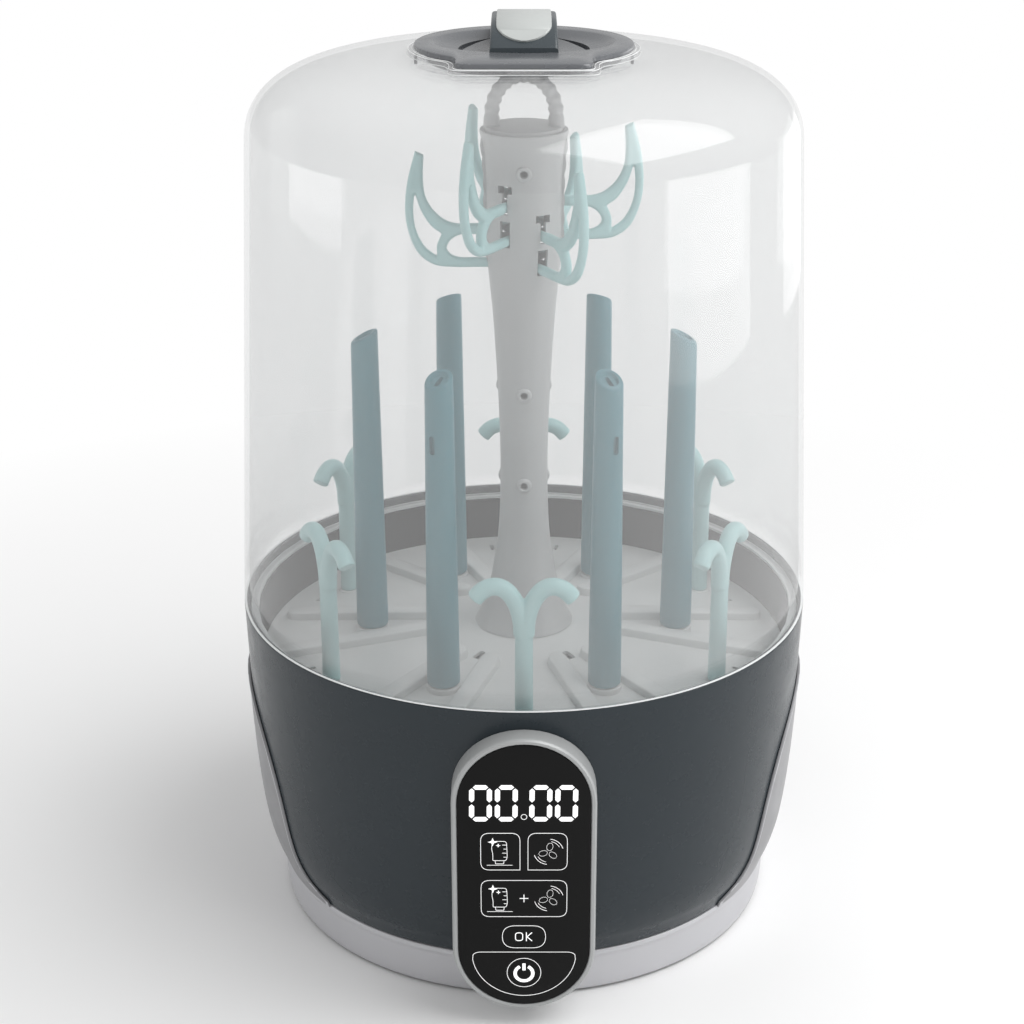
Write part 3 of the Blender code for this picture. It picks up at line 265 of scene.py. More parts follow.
MATERIALS = {
    "clear_dome": clear("clear_dome"),
    # painted_highlight_edge: painted highlight, a near-white opaque finish for thin rings that stand in for
    # the glints along the clear dome's edges
    "painted_highlight_edge": moulded("painted_highlight_edge", (0.88, 0.89, 0.89), 0.12, mottle=0.02),
    "slate_shell": moulded("slate_shell", (0.022, 0.030, 0.036), 0.26, depth=0.00001, specular=0.30),
    "tub_slate": moulded("tub_slate", (0.006, 0.007, 0.007), 0.50, depth=0.00001, specular=0.15),
    "cap_slate": moulded("cap_slate", (0.118, 0.124, 0.134), 0.26, specular=0.9),
    "handle_slate": moulded("handle_slate", (0.046, 0.058, 0.066), 0.30, specular=0.5),
    "light_grey": moulded("light_grey", (0.48, 0.50, 0.49), 0.34),
    "pod_silver": silver("pod_silver", (0.38, 0.39, 0.39)),
    "rack_grey": moulded("rack_grey", (0.45, 0.455, 0.455), 0.38, depth=0.00002),
    "tray_grey": moulded("tray_grey", (0.58, 0.59, 0.585), 0.36, depth=0.00001),
    "post_blue_grey": moulded("post_blue_grey", (0.054, 0.205, 0.245), 0.34, depth=0.00001),
    "pale_aqua": moulded("pale_aqua", (0.40, 0.62, 0.62), 0.36, depth=0.00001),
    "silver_band": silver("silver_band", (0.52, 0.52, 0.54)),
    # trim_silver_painted_shade: painted shade, the trims' silver drawn darker on the arch's field, which
    # faces sideways, than on its bead (silver_band)
    "trim_silver_painted_shade": silver("trim_silver_painted_shade", (0.27, 0.27, 0.28)),
    "panel_black": moulded("panel_black", (0.008, 0.008, 0.008), 0.12, depth=0.000004, specular=0.10),
    "panel_print": lit("panel_print", 0.55),
    "steel": brushed("steel"),
    "foot_rubber": moulded("foot_rubber", (0.022, 0.022, 0.022), 0.80, depth=0.0001),
    "seal_silicone": moulded("seal_silicone", (0.60, 0.61, 0.61), 0.60),
    "circuit_board": board("circuit_board"),
    "black_plastic": moulded("black_plastic", (0.020, 0.020, 0.021), 0.50, depth=0.00006),
    # dark_inside: painted shade, a near-black finish put where only shade is seen, such as the liner inside
    # the column behind its keyholes
    "dark_inside": moulded("dark_inside", (0.055, 0.055, 0.055), 0.60),
    "filter_felt": felt("filter_felt"),
}

# ---------------------------------------------------------------- shape helpers


def spot(angle, radius, height=0.0):
    turn = math.radians(angle)
    return Vector((radius * math.sin(turn), -radius * math.cos(turn), height))


def blend(start, end, share):
    return start + (end - start) * share


def rounded(points, closed=True, steps=4):
    """An outline in which a corner that carries a third number is rounded over that reach."""
    made = []
    count = len(points)
    for index, point in enumerate(points):
        corner = Vector(point[:2])
        reach = point[2] if len(point) > 2 else 0.0
        if not reach or (not closed and index in (0, count - 1)):
            made.append(tuple(corner))
            continue
        before = Vector(points[index - 1][:2]) - corner
        after = Vector(points[(index + 1) % count][:2]) - corner
        start = corner + before.normalized() * min(reach, before.length * 0.49)
        end = corner + after.normalized() * min(reach, after.length * 0.49)
        for step in range(steps + 1):
            t = step / steps
            made.append(tuple(start * (1 - t) ** 2 + corner * 2 * t * (1 - t) + end * t * t))
    return made


def oblong(wide, tall, reach, middle=(0.0, 0.0), steps=4):
    """A rectangle with rounded corners, given by its half sizes."""
    x, y = middle
    corners = [(x - wide, y - tall), (x + wide, y - tall), (x + wide, y + tall), (x - wide, y + tall)]
    return rounded([(*corner, reach) for corner in corners], steps=steps)


def smooth_line(points, steps=6):
    """A curve through points of any dimension (Catmull-Rom), both ends included."""
    points = [Vector(point) for point in points]
    padded = [points[0] * 2 - points[1]] + points + [points[-1] * 2 - points[-2]]
    made = []
    for a, b, c, d in zip(padded, padded[1:], padded[2:], padded[3:]):
        for step in range(steps):
            t = step / steps
            made.append(
                0.5 * (
                    (2 * b) + (c - a) * t
                    + (2 * a - 5 * b + 4 * c - d) * t * t
                    + (3 * b - a - 3 * c + d) * t**3
                )
            )
    return made + [points[-1]]


def to_mesh(bm, name, material, sharp=32):
    bmesh.ops.recalc_face_normals(bm, faces=bm.faces)
    mesh = bpy.data.meshes.new(name)
    bm.to_mesh(mesh)
    bm.free()
    mesh.shade_smooth()
    mesh.set_sharp_from_angle(angle=math.radians(sharp))
    mesh.materials.append(MATERIALS[material])
    return mesh


def add_loft(bm, rings, closed=True, caps=True, ends_meet=False):
    """Skins a row of rings, which have the same number of points."""
    rows = [[bm.verts.new(point) for point in ring] for ring in rings]
    count = len(rows[0])
    pairs = list(zip(rows, rows[1:])) + ([(rows[-1], rows[0])] if ends_meet else [])
    for one, two in pairs:
        for i in range(count if closed else count - 1):
            j = (i + 1) % count
            bm.faces.new((one[i], one[j], two[j], two[i]))
    if caps and not ends_meet:
        bm.faces.new(rows[0][::-1])
        bm.faces.new(rows[-1])
    return rows


def add_turned(bm, profile, steps=STEPS, at=(0, 0)):
    """A turned solid. A profile that starts and ends at radius 0 is closed on the axis."""
    on_axis = abs(profile[0][0]) < 1e-7
    rings = []
    for step in range(steps):
        turn = math.tau * step / steps
        rings.append([(at[0] + r * math.cos(turn), at[1] + r * math.sin(turn), z) for r, z in profile])
    first = len(bm.verts)
    add_loft(bm, rings, closed=not on_axis, caps=False, ends_meet=True)
    if on_axis:
        bm.verts.ensure_lookup_table()
        bmesh.ops.remove_doubles(bm, verts=bm.verts[first:], dist=1e-7)


def turned(name, profile, material, steps=STEPS, sharp=32):
    bm = bmesh.new()
    add_turned(bm, profile, steps)
    return to_mesh(bm, name, material, sharp)


def add_tube(bm, line, radius, sides=16, rounding=0.0):
    """A round bar along a line. radius is a number or a function of the share along the line."""
    line = [Vector(point) for point in line]
    lengths = [0.0]
    for a, b in zip(line, line[1:]):
        lengths.append(lengths[-1] + (b - a).length)
    radius_at = radius if callable(radius) else (lambda share: radius)
    normal = None
    rings = []
    for index, point in enumerate(line):
        before, after = line[max(0, index - 1)], line[min(len(line) - 1, index + 1)]
        along = (after - before).normalized()
        if normal is None:
            normal = along.orthogonal().normalized()
        normal = (normal - along * normal.dot(along)).normalized()
        side = along.cross(normal)
        share = lengths[index] / lengths[-1]
        size = radius_at(share)
        ring = []
        for k in range(sides):
            turn = math.tau * k / sides
            ring.append(point + (normal * math.cos(turn) + side * math.sin(turn)) * size)
        rings.append((point, ring, along))
    plain = [ring for _, ring, _ in rings]
    if rounding:
        plain = end_rounds(rings[0], -1, rounding)[::-1] + plain + end_rounds(rings[-1], 1, rounding)
    add_loft(bm, plain)


def end_rounds(row, way, rounding):
    """Two smaller rings beyond a bar's end, which round its rim."""
    point, ring, along = row
    made = []
    size = (ring[0] - point).length
    for lift, shrink in ((0.7, 0.3), (1.0, 1.0)):
        scale = 1 - shrink * min(0.9, rounding / size)
        made.append([point + along * way * rounding * lift + (p - point) * scale for p in ring])
    return made


def add_slab(bm, outline, shift, matrix=None):
    """A flat outline of 3-D points drawn out by a vector."""
    shift = Vector(shift)
    rings = [[Vector(p) for p in outline], [Vector(p) + shift for p in outline]]
    if matrix:
        rings = [[matrix @ p for p in ring] for ring in rings]
    add_loft(bm, rings)


def apply_modifiers(obj):
    """The object's evaluated mesh, in its own space, as a new plain mesh."""
    bpy.context.view_layer.update()
    graph = bpy.context.evaluated_depsgraph_get()
    mesh = bpy.data.meshes.new_from_object(obj.evaluated_get(graph), depsgraph=graph)
    return mesh


def cut(mesh, cutters, operation="DIFFERENCE", sharp=32):
    """mesh with other meshes cut from it or joined to it."""
    scene = bpy.context.scene.collection
    holder = bpy.data.objects.new("work", mesh)
    scene.objects.link(holder)
    others = []
    for cutter in cutters:
        other = bpy.data.objects.new("cutter", cutter)
        scene.objects.link(other)
        others.append(other)
        modifier = holder.modifiers.new("cut", "BOOLEAN")
        modifier.operation = operation
        modifier.object = other
        modifier.solver = "EXACT"
    made = apply_modifiers(holder)
    for obj in [holder] + others:
        bpy.data.objects.remove(obj)
    made.shade_smooth()
    made.set_sharp_from_angle(angle=math.radians(sharp))
    return made


def melted(mesh, voxel, passes=6):
    """Overlapping bars of one mesh as a single skin with soft joints, like a moulding."""
    holder = bpy.data.objects.new("work", mesh)
    bpy.context.scene.collection.objects.link(holder)
    remesh = holder.modifiers.new("remesh", "REMESH")
    remesh.mode = "VOXEL"
    remesh.voxel_size = voxel
    remesh.use_smooth_shade = True
    smooth = holder.modifiers.new("smooth", "SMOOTH")
    smooth.factor = 0.5
    smooth.iterations = passes
    made = apply_modifiers(holder)
    bpy.data.objects.remove(holder)
    made.shade_smooth()
    return made


def mesh_of(name, build, material="rack_grey", sharp=32):
    """A mesh filled by a function that is given the bmesh."""
    bm = bmesh.new()
    build(bm)
    return to_mesh(bm, name, material, sharp)


def show(name, mesh, body, replaces=(), angle=0.0, at=(0, 0, 0)):
    """Puts a piece in the scene on its CAD body, in place of the CAD nodes it stands for."""
    obj = bpy.data.objects.new(name, mesh)
    obj.location = (at[0], at[1] + AXIS_Y, at[2])
    obj.rotation_euler.z = math.radians(angle)
    LOOK.objects.link(obj)
    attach(obj, body)
    if replaces:
        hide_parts(*replaces)
    return obj


# ---------------------------------------------------------------- base

SHELL = [  # outer surface, rim to foot
    (RIM_R, RIM_Z),
    (0.1396, 0.1400),
    (0.1389, 0.1200),
    (0.1380, 0.1000),
    (0.1368, 0.0800),
    (0.1350, 0.0600),
    (0.1329, 0.0450),
    (0.1304, 0.0350),
    (0.1284, 0.0298),
    (0.1263, 0.0243),
]


SHELL_LINE = [tuple(p) for p in smooth_line(SHELL, 5)]


def radius_on(line, height):
    """The radius of a line that runs down from its first point. Beyond its ends it goes straight on."""
    for (r_up, z_up), (r_down, z_down) in zip(line, line[1:]):
        if z_down <= height <= z_up:
            return blend(r_down, r_up, (height - z_down) / (z_up - z_down))
    return line[-1][0] if height < line[-1][1] else line[0][0]


def window(name, z_middle, half, depth=(0.115, 0.155)):
    """A rounded cutter through the back of the shell."""
    outline = [(x, depth[0], z_middle + z) for x, z in oblong(*half, 0.003)]
    return mesh_of(name, lambda bm: add_slab(bm, outline, (0, depth[1] - depth[0], 0)))


FILTER_Z, FILTER_HALF = 0.0910, (0.0278, 0.0193)
INLET_Z, INLET_HALF = 0.0480, (0.0138, 0.0103)
SOCKET_HALF = (0.0085, 0.0043)
WELL_BACK = 0.1165


def make_shell():
    inner = [(r - 0.0025, z) for r, z in SHELL_LINE[::-1] if 0.034 < z < 0.142]
    rim = [(0.1376, RIM_Z, 0.0003), (RIM_R, RIM_Z, 0.0005)]
    foot = [(0.1245, 0.0243), (0.1245, 0.0262), (0.1210, 0.0262), (0.1210, 0.0290), (0.1250, 0.0300)]
    ledge = [(0.1352, 0.1465), (0.1352, 0.1500), (0.1376, 0.1500)]
    profile = rounded(rim + SHELL_LINE[1:] + foot + inner + ledge)
    mesh = turned("outer_shell", profile, "slate_shell", FINE_STEPS)
    cutters = [window("filter_window", FILTER_Z, FILTER_HALF)]
    cutters.append(window("inlet_window", INLET_Z, INLET_HALF))
    show("shell", cut(mesh, cutters), "base", ["outer_shell"])


def make_tub():
    profile = [
        (0.1373, 0.1540, 0.0003),
        (0.1373, 0.1503),
        (0.1348, 0.1503),
        (0.1344, 0.1236, 0.002),
        (0.1184, 0.1236, 0.002),
        (0.1110, 0.0898, 0.002),
        (0.0540, 0.0898),
        (0.0540, 0.0922, 0.0005),
        (0.1088, 0.0922, 0.006),
        (0.1160, 0.1262, 0.0008),
        (0.1322, 0.1262, 0.0012),
        (0.1326, 0.1540, 0.0010),
    ]
    show("tub", turned("inner_tub", rounded(profile), "tub_slate"), "base", ["inner_tub"])


def make_ring():
    profile = [
        (0.1235, 0.0259),
        (0.1235, 0.0234),
        (0.1262, 0.0234, 0.0006),
        (0.1268, 0.0214, 0.0008),
        (0.1258, 0.0196, 0.0016),
        (0.1255, 0.0060, 0.004),
        (0.1246, 0.0015, 0.0012),
        (0.1228, 0.0015),
        (0.1228, 0.0198),
        (0.1208, 0.0215),
        (0.1208, 0.0259),
    ]
    show("ring", turned("base_ring", rounded(profile), "silver_band", FINE_STEPS), "base", ["base_ring"])


def trim_half(height):
    """Half the arch's width in degrees: straight sides, a round top and a flared foot."""
    share = max(0.0, (height - 0.030) / (TRIM_TOP - 0.030))
    arch = 31 * math.sqrt(max(0.0, 1 - min(1.0, share) ** 3))
    return arch + 10 * math.exp(-max(0.0, height - 0.026) / 0.010)


def trim_mesh(name, side):
    """An arch on one side: a sheet with a raised bead along its edge."""
    rows, across = 60, 48
    bm = bmesh.new()
    rings = []
    for row in range(rows):
        height = blend(TRIM_LOW, TRIM_TOP, 1 - (1 - row / rows) ** 2)
        tuck = max(0.0, 0.0262 - height) * 0.14
        radius = radius_on(SHELL_LINE, height) + GAP - tuck
        outer, inner = [], []
        for step in range(across + 1):
            place = math.sin(math.pi * (step / across - 0.5))
            angle = 90 * side + place * trim_half(height)
            arc = trim_half(height) * (1 - abs(place)) * 0.0024
            outer.append(spot(angle, radius + trim_lift(min(arc, TRIM_TOP - height)), height))
            inner.append(spot(angle, radius, height))
        rings.append(outer + inner[::-1])
    add_loft(bm, rings)
    bmesh.ops.remove_doubles(bm, verts=bm.verts, dist=2e-6)
    # Painted shade: the field takes the darker trim silver and the bead the lighter silver_band, though both
    # are one silver.
    for face in bm.faces:
        middle = face.calc_center_median()
        lift = math.hypot(middle.x, middle.y) - radius_on(SHELL_LINE, middle.z) - GAP
        face.material_index = 1 if lift > BEAD_LIFT else 0
    mesh = to_mesh(bm, name, "trim_silver_painted_shade", 50)
    mesh.materials.append(MATERIALS["silver_band"])
    return mesh


def make_trims():
    for name, side in (("side_trim_left", -1), ("side_trim_right", 1)):
        show(name + "_skin", trim_mesh(name, side), "base", [name])


# Above this lift a face takes the lighter silver, below it the silver with painted shade.
BEAD_LIFT = 0.0011  # the bead stands out more than this, the arch's field less


def trim_lift(edge):
    """How far the arch stands out, by the distance from its edge: a bead, a groove and then the field."""
    if edge < 0.0004:
        return blend(0.0006, 0.0013, edge / 0.0004)
    if edge < 0.0022:
        return 0.0013
    if edge < 0.0028:
        return blend(0.0013, 0.0003, (edge - 0.0022) / 0.0006)
    if edge < 0.0036:
        return blend(0.0003, 0.0009, (edge - 0.0028) / 0.0008)
    return 0.0009


def make_filter():
    wide, tall = FILTER_HALF
    plate = rear_plate("filter_plate", (wide + 0.0032, tall + 0.0032), FILTER_Z, 0.0015, "slate_shell")
    slots = bmesh.new()
    for row in range(-3, 4):
        outline = oblong(wide - 0.005, 0.0011, 0.001, (0.0, FILTER_Z + row * 0.0046), 3)
        add_slab(slots, [(x, 0.125, z) for x, z in outline], (0, 0.03, 0))
    mesh = cut(plate, [to_mesh(slots, "slots", "slate_shell")])
    show("filter_lid", mesh, "filter", ["filter_cover"])


def rear_plate(name, half, z_middle, thick, material):
    """A rounded plate that follows the back of the shell, thinner towards its edges."""
    bm = bmesh.new()
    columns, rows = 24, 16
    outer, inner = [], []
    for row in range(rows + 1):
        z = z_middle + half[1] * (2 * row / rows - 1)
        for column in range(columns + 1):
            x = half[0] * (2 * column / columns - 1)
            radius = radius_on(SHELL_LINE, z) + 0.0003
            edge = min(half[0] - abs(x), half[1] - abs(z - z_middle))
            lift = thick * min(1.0, 0.35 + edge / 0.0012 * 0.65)
            y_out = math.sqrt((radius + lift) ** 2 - x * x)
            y_in = math.sqrt(radius**2 - x * x)
            outer.append((x, y_out, z))
            inner.append((x, y_in, z))
    grid(bm, outer, columns, rows)
    grid(bm, inner, columns, rows)
    bmesh.ops.bridge_loops(bm, edges=[edge for edge in bm.edges if edge.is_boundary])
    return to_mesh(bm, name, material)


def grid(bm, points, columns, rows):
    verts = [bm.verts.new(point) for point in points]
    wide = columns + 1
    for row in range(rows):
        for column in range(columns):
            a = row * wide + column
            bm.faces.new((verts[a], verts[a + 1], verts[a + 1 + wide], verts[a + wide]))


def make_inlet():
    half = (INLET_HALF[0] + 0.0027, INLET_HALF[1] + 0.0022)
    plate = rear_plate("inlet_plate", half, INLET_Z, 0.0015, "black_plastic")
    outline = [(x, 0.120, INLET_Z + z) for x, z in oblong(*SOCKET_HALF, 0.004, steps=6)]
    hole = mesh_of("socket", lambda bm: add_slab(bm, outline, (0, 0.03, 0)))
    show("inlet_face", cut(plate, [hole]), "base")
    show("inlet_well", mesh_of("inlet_well", inlet_well, "black_plastic"), "base", ["power_inlet"])
    pins = bmesh.new()
    for x in (-0.0043, 0.0043):
        add_tube(pins, [(x, WELL_BACK, INLET_Z), (x, WELL_BACK + 0.0120, INLET_Z)], 0.0012, 16, 0.0004)
    show("inlet_pins", to_mesh(pins, "inlet_pins", "steel"), "base")


def inlet_well(bm):
    """A cup behind the socket's mouth."""
    wide, tall = SOCKET_HALF
    mouth, wall = 0.1335, 0.0012
    rings = []
    for grow, y in ((wall, mouth), (wall, WELL_BACK - 0.0015), (0.0, WELL_BACK), (0.0, mouth)):
        outline = oblong(wide + grow, tall + grow, 0.004, steps=6)
        rings.append([(x, y, INLET_Z + z) for x, z in outline])
    rows = add_loft(bm, rings[:2], caps=False) + add_loft(bm, rings[2:], caps=False)
    bm.faces.new(rows[1])
    bm.faces.new(rows[2])
    count = len(rows[0])
    for i in range(count):
        j = (i + 1) % count
        bm.faces.new((rows[0][i], rows[0][j], rows[3][j], rows[3][i]))


# ---------------------------------------------------------------- control panel


def panel_pill(inset, y, steps=28):
    """The panel's outline drawn in by inset: a half circle at each end."""
    half = PANEL_HALF - inset
    points = []
    for middle, start in ((PANEL_TOP - inset - half, 0.0), (PANEL_LOW + inset + half, math.pi)):
        for step in range(steps + 1):
            turn = start + math.pi * step / steps
            points.append((half * math.cos(turn), y, middle + half * math.sin(turn)))
    return points


def make_panel():
    rim = PANEL_HALF - GLASS_HALF
    y = PANEL_FRONT
    bm = bmesh.new()
    levels = [(0.0, 0.0340), (0.0, 0.0018), (0.0003, 0.0007), (0.0009, 0.0)]
    levels += [(rim - 0.0004, 0.0), (rim, 0.0004), (rim, 0.0019)]
    add_loft(bm, [panel_pill(inset, y + depth) for inset, depth in levels])
    block = to_mesh(bm, "panel_frame", "pod_silver")
    behind = [(0.0, 0.1900), (RIM_R + GAP, 0.1900)] + [(r + GAP, z) for r, z in SHELL_LINE]
    behind += [(0.1271, 0.0240), (0.1271, -0.02), (0.0, -0.02)]
    core = mesh_of("core", lambda made: add_turned(made, behind, FINE_STEPS))
    show("panel_housing", cut(block, [core]), "base", ["panel_frame"])
    glass = bmesh.new()
    levels = [(0.0, 0.0015), (0.0, 0.0004), (0.0001, 0.00015), (0.0004, 0.0)]
    add_loft(glass, [panel_pill(rim + 0.0002 + inset, y + depth) for inset, depth in levels])
    show("panel_front", to_mesh(glass, "panel_glass", "panel_black"), "base", ["panel_glass"])
    make_symbols(y)


PRINT = 0.00023  # how wide the thin printed lines are
PROUD = 0.00006  # how far print stands in front of the glass


def add_ribbon(bm, points, width, y, closed=False):
    """A printed line along (x, z) points."""
    points = [Vector(point) for point in points]
    count = len(points)
    left, right = [], []
    for index, point in enumerate(points):
        before = points[index - 1] if closed or index else point
        after = points[(index + 1) % count] if closed or index < count - 1 else point
        one, two = (point - before), (after - point)
        one = one.normalized() if one.length else two.normalized()
        two = two.normalized() if two.length else one
        along = (one + two).normalized()
        normal = Vector((-along.y, along.x))
        mitre = width / 2 / max(0.5, normal.dot(Vector((-one.y, one.x))))
        left.append(point + normal * mitre)
        right.append(point - normal * mitre)
    rings = []
    for a, b in zip(left, right):
        rings.append([(a.x, y, a.y), (b.x, y, b.y), (b.x, y - PROUD, b.y), (a.x, y - PROUD, a.y)])
    add_loft(bm, rings, ends_meet=closed)


def add_plate(bm, points, y):
    """A printed patch with an (x, z) outline."""
    add_slab(bm, [(x, y, z) for x, z in points], (0, -PROUD, 0))


def box_line(x0, z0, x1, z1, reaches, steps=6):
    """A rounded rectangle with its own reach for each corner, from the lower left round."""
    corners = [(x0, z0, reaches[0]), (x1, z0, reaches[1]), (x1, z1, reaches[2]), (x0, z1, reaches[3])]
    return rounded(corners, steps=steps)


def arc_line(cx, cz, radius, start, end, steps=20, squash=1.0):
    made = []
    for step in range(steps + 1):
        turn = math.radians(blend(start, end, step / steps))
        made.append((cx + radius * math.cos(turn), cz + radius * squash * math.sin(turn)))
    return made


def ring_line(cx, cz, radius, steps=32):
    return arc_line(cx, cz, radius, 0, 360 - 360 / steps, steps - 1)


def segment(one, two, half):
    """A bar of the display with pointed ends, from one (x, z) point to another."""
    one, two = Vector(one), Vector(two)
    along = (two - one).normalized() * half
    side = Vector((along.y, -along.x))
    return [one, one + along + side, two - along + side, two, two - along - side, one + along - side]


def add_digit(bm, x, z, wide, tall, y):
    """A nought of six display bars, leaning a little."""
    bar, gap, lean = 0.0023, 0.0005, 0.012
    half = bar / 2
    bars = []
    for level in (half, tall - half):
        bars.append(((half + gap, level), (wide - half - gap, level)))
    for side in (half, wide - half):
        bars.append(((side, half + gap), (side, tall / 2 - gap)))
        bars.append(((side, tall / 2 + gap), (side, tall - half - gap)))
    for one, two in bars:
        add_plate(bm, [(x + px + pz * lean, z + pz) for px, pz in segment(one, two, half)], y)


def add_bottle(bm, x, z, y):
    """Upside-down bottle on a stand line, with marks and two sparkles."""
    body = [
        (-0.0031, 0.0024, 0.0006),
        (0.0029, 0.0024, 0.0008),
        (0.0034, 0.0040, 0.0010),
        (0.0034, 0.0068, 0.0008),
        (0.0031, 0.0124, 0.0013),
        (-0.0032, 0.0124, 0.0013),
        (-0.0036, 0.0085, 0.0010),
        (-0.0030, 0.0055, 0.0010),
    ]
    add_ribbon(bm, [(x + a, z + b) for a, b in rounded(body, steps=3)], PRINT, y, True)
    neck = [(-0.0020, 0.0022), (-0.0018, 0.0007), (0.0018, 0.0007), (0.0020, 0.0022)]
    add_ribbon(bm, [(x + a, z + b) for a, b in neck], PRINT, y)
    add_ribbon(bm, [(x - 0.0058, z), (x + 0.0058, z)], PRINT * 0.8, y)
    for mark in range(4):
        level = z + 0.0042 + mark * 0.0021
        add_ribbon(bm, [(x + (0.0012 if mark % 2 else 0.0018), level), (x + 0.0031, level)], PRINT, y)
    for sx, sz, size in ((-0.0031, 0.0121, 0.0022), (-0.0006, 0.0103, 0.0011)):
        star = []
        for k in range(8):
            reach = size if k % 2 == 0 else size * 0.36
            turn = math.radians(45 * k)
            star.append((x + sx + reach * math.cos(turn), z + sz + reach * math.sin(turn)))
        add_plate(bm, star, y - PROUD * 1.5)


def add_fan(bm, x, z, y):
    """Three blades and two pairs of breeze lines."""
    for turn in (78, 198, 318):
        c, s = math.cos(math.radians(turn)), math.sin(math.radians(turn))
        cx, cz = x + 0.0026 * c, z + 0.0026 * s
        blade = []
        for k in range(14):
            a = math.tau * k / 14
            u, v = 0.0020 * math.cos(a), 0.0014 * math.sin(a)
            blade.append((cx + u * c - v * s, cz + u * s + v * c))
        add_ribbon(bm, blade, PRINT * 0.5, y, True)
    for start in (15, 195):
        add_ribbon(bm, arc_line(x, z, 0.0066, start, start + 68), PRINT, y)
        add_ribbon(bm, arc_line(x, z, 0.0054, start + 12, start + 62), PRINT * 0.8, y)


def make_symbols(front):
    """Display digits and touch fields, as thin print on the glass."""
    y = front - 0.00001
    bm = bmesh.new()
    for x in (-0.0246, -0.0131, 0.0023, 0.0138):
        add_digit(bm, x, 0.1108, 0.0102, 0.0185, y)
    add_ribbon(bm, ring_line(0.0, 0.1131, 0.0013, 20), PRINT, y, True)
    show("display_digits", to_mesh(bm, "display_digits", "panel_print"), "base")
    bm = bmesh.new()
    sharp, soft = 0.0, 0.0040
    add_ribbon(bm, box_line(-0.0195, 0.0856, -0.0018, 0.1047, (soft, sharp, soft, soft)), PRINT, y, True)
    add_ribbon(bm, box_line(0.0018, 0.0856, 0.0195, 0.1047, (sharp, soft, soft, soft)), PRINT, y, True)
    add_ribbon(bm, box_line(-0.0195, 0.0609, 0.0195, 0.0801, (soft,) * 4), PRINT, y, True)
    add_ribbon(bm, box_line(-0.0099, 0.0441, 0.0099, 0.0560, (0.0060,) * 4, 10), PRINT, y, True)
    add_bottle(bm, -0.0110, 0.0881, y)
    add_fan(bm, 0.0111, 0.0951, y)
    add_bottle(bm, -0.0110, 0.0636, y)
    add_fan(bm, 0.0113, 0.0706, y)
    add_plus(bm, 0.0, 0.0706, 0.0020, y)
    add_ok(bm, y)
    brim = [(-0.0243, 0.0386), (-0.0226, 0.0418, 0.0030), (0.0226, 0.0418, 0.0030), (0.0243, 0.0386)]
    bowl = rounded(brim, closed=False, steps=6)[1:-1] + arc_line(0.0, 0.0412, 0.0239, -8, -172, 30, 0.97)
    add_ribbon(bm, bowl, PRINT, y, True)
    add_ribbon(bm, ring_line(0.0, 0.0306, 0.0078, 40), PRINT, y, True)
    show("panel_lines", to_mesh(bm, "panel_lines", "panel_print"), "base")
    bm = bmesh.new()
    add_ribbon(bm, arc_line(0.0, 0.0302, 0.0041, 118, 422, 40), 0.0016, y)
    add_ribbon(bm, [(0.0, 0.0318), (0.0, 0.0356)], 0.0015, y)
    show("power_symbol", to_mesh(bm, "power_symbol", "panel_print"), "base")


def add_plus(bm, x, z, size, y):
    half = 0.00018
    arm = [(half, half), (half, size), (-half, size)]
    points = []
    for _ in range(4):
        points += arm
        arm = [(-b, a) for a, b in arm]
    add_plate(bm, [(x + a, z + b) for a, b in points], y)


def add_ok(bm, y):
    low_z, high_z, stroke = 0.0480, 0.0522, 0.00042
    add_ribbon(bm, box_line(-0.0039, low_z, -0.0006, high_z, (0.0014,) * 4, 5), stroke, y, True)
    add_ribbon(bm, [(0.0011, low_z - 0.0003), (0.0011, high_z + 0.0003)], stroke, y)
    middle = (low_z + high_z) / 2
    for end in (low_z - 0.0002, high_z + 0.0002):
        add_ribbon(bm, [(0.0014, middle), (0.0037, end)], stroke, y - PROUD * 0.5)


# ---------------------------------------------------------------- dome


def dome_crown(inset=0.0):
    """The dome's outer line from the collar to the rim."""
    slope = (DOME_R - 0.1290) / (0.3900 - 0.1603)
    start, end = Vector((0.0580, 0.4260)), Vector((0.1290, 0.3900))
    one, two = Vector((0.1030, 0.4260)), Vector((0.1290 - slope * 0.025, 0.4150))
    line = []
    for step in range(25):
        t = step / 24
        point = start * (1 - t) ** 3 + one * 3 * t * (1 - t) ** 2
        line.append(point + two * 3 * t * t * (1 - t) + end * t**3)
    if inset:
        moved = []
        for index, point in enumerate(line):
            along = (line[min(24, index + 1)] - line[max(0, index - 1)]).normalized()
            moved.append(point + Vector((along.y, -along.x)) * inset)
        line = moved
    return [tuple(p) for p in line]


def cap_outline(radius, front, half, blend_reach, steps=96):
    """Round outline with a squared tab at the front, as (x, y) points."""
    points = []
    for step in range(steps):
        turn = math.tau * step / steps
        x, y = radius * math.sin(turn), -radius * math.cos(turn)
        points.append((x, y))
    inside = math.sqrt(radius**2 - half**2)
    arc = [p for p in points if not (abs(p[0]) < half + blend_reach and p[1] < 0)]
    arc.sort(key=lambda p: math.atan2(p[0], -p[1]) % math.tau)
    hollow = blend_reach * 1.5
    tab = [(-half, -inside, hollow), (-half, front, blend_reach)]
    tab += [(half, front, blend_reach), (half, -inside, hollow)]
    return rounded(arc + tab, steps=6)


def resampled(outline, count):
    """The same closed outline with evenly spaced points, from its rearmost one."""
    start = max(range(len(outline)), key=lambda i: outline[i][1])
    points = [Vector(p) for p in outline[start:] + outline[:start]]
    points.append(points[0])
    lengths = [0.0]
    for a, b in zip(points, points[1:]):
        lengths.append(lengths[-1] + (b - a).length)
    made = []
    at = 0
    for k in range(count):
        goal = lengths[-1] * k / count
        while lengths[at + 1] < goal:
            at += 1
        share = (goal - lengths[at]) / max(1e-12, lengths[at + 1] - lengths[at])
        made.append(blend(points[at], points[at + 1], share))
    return made


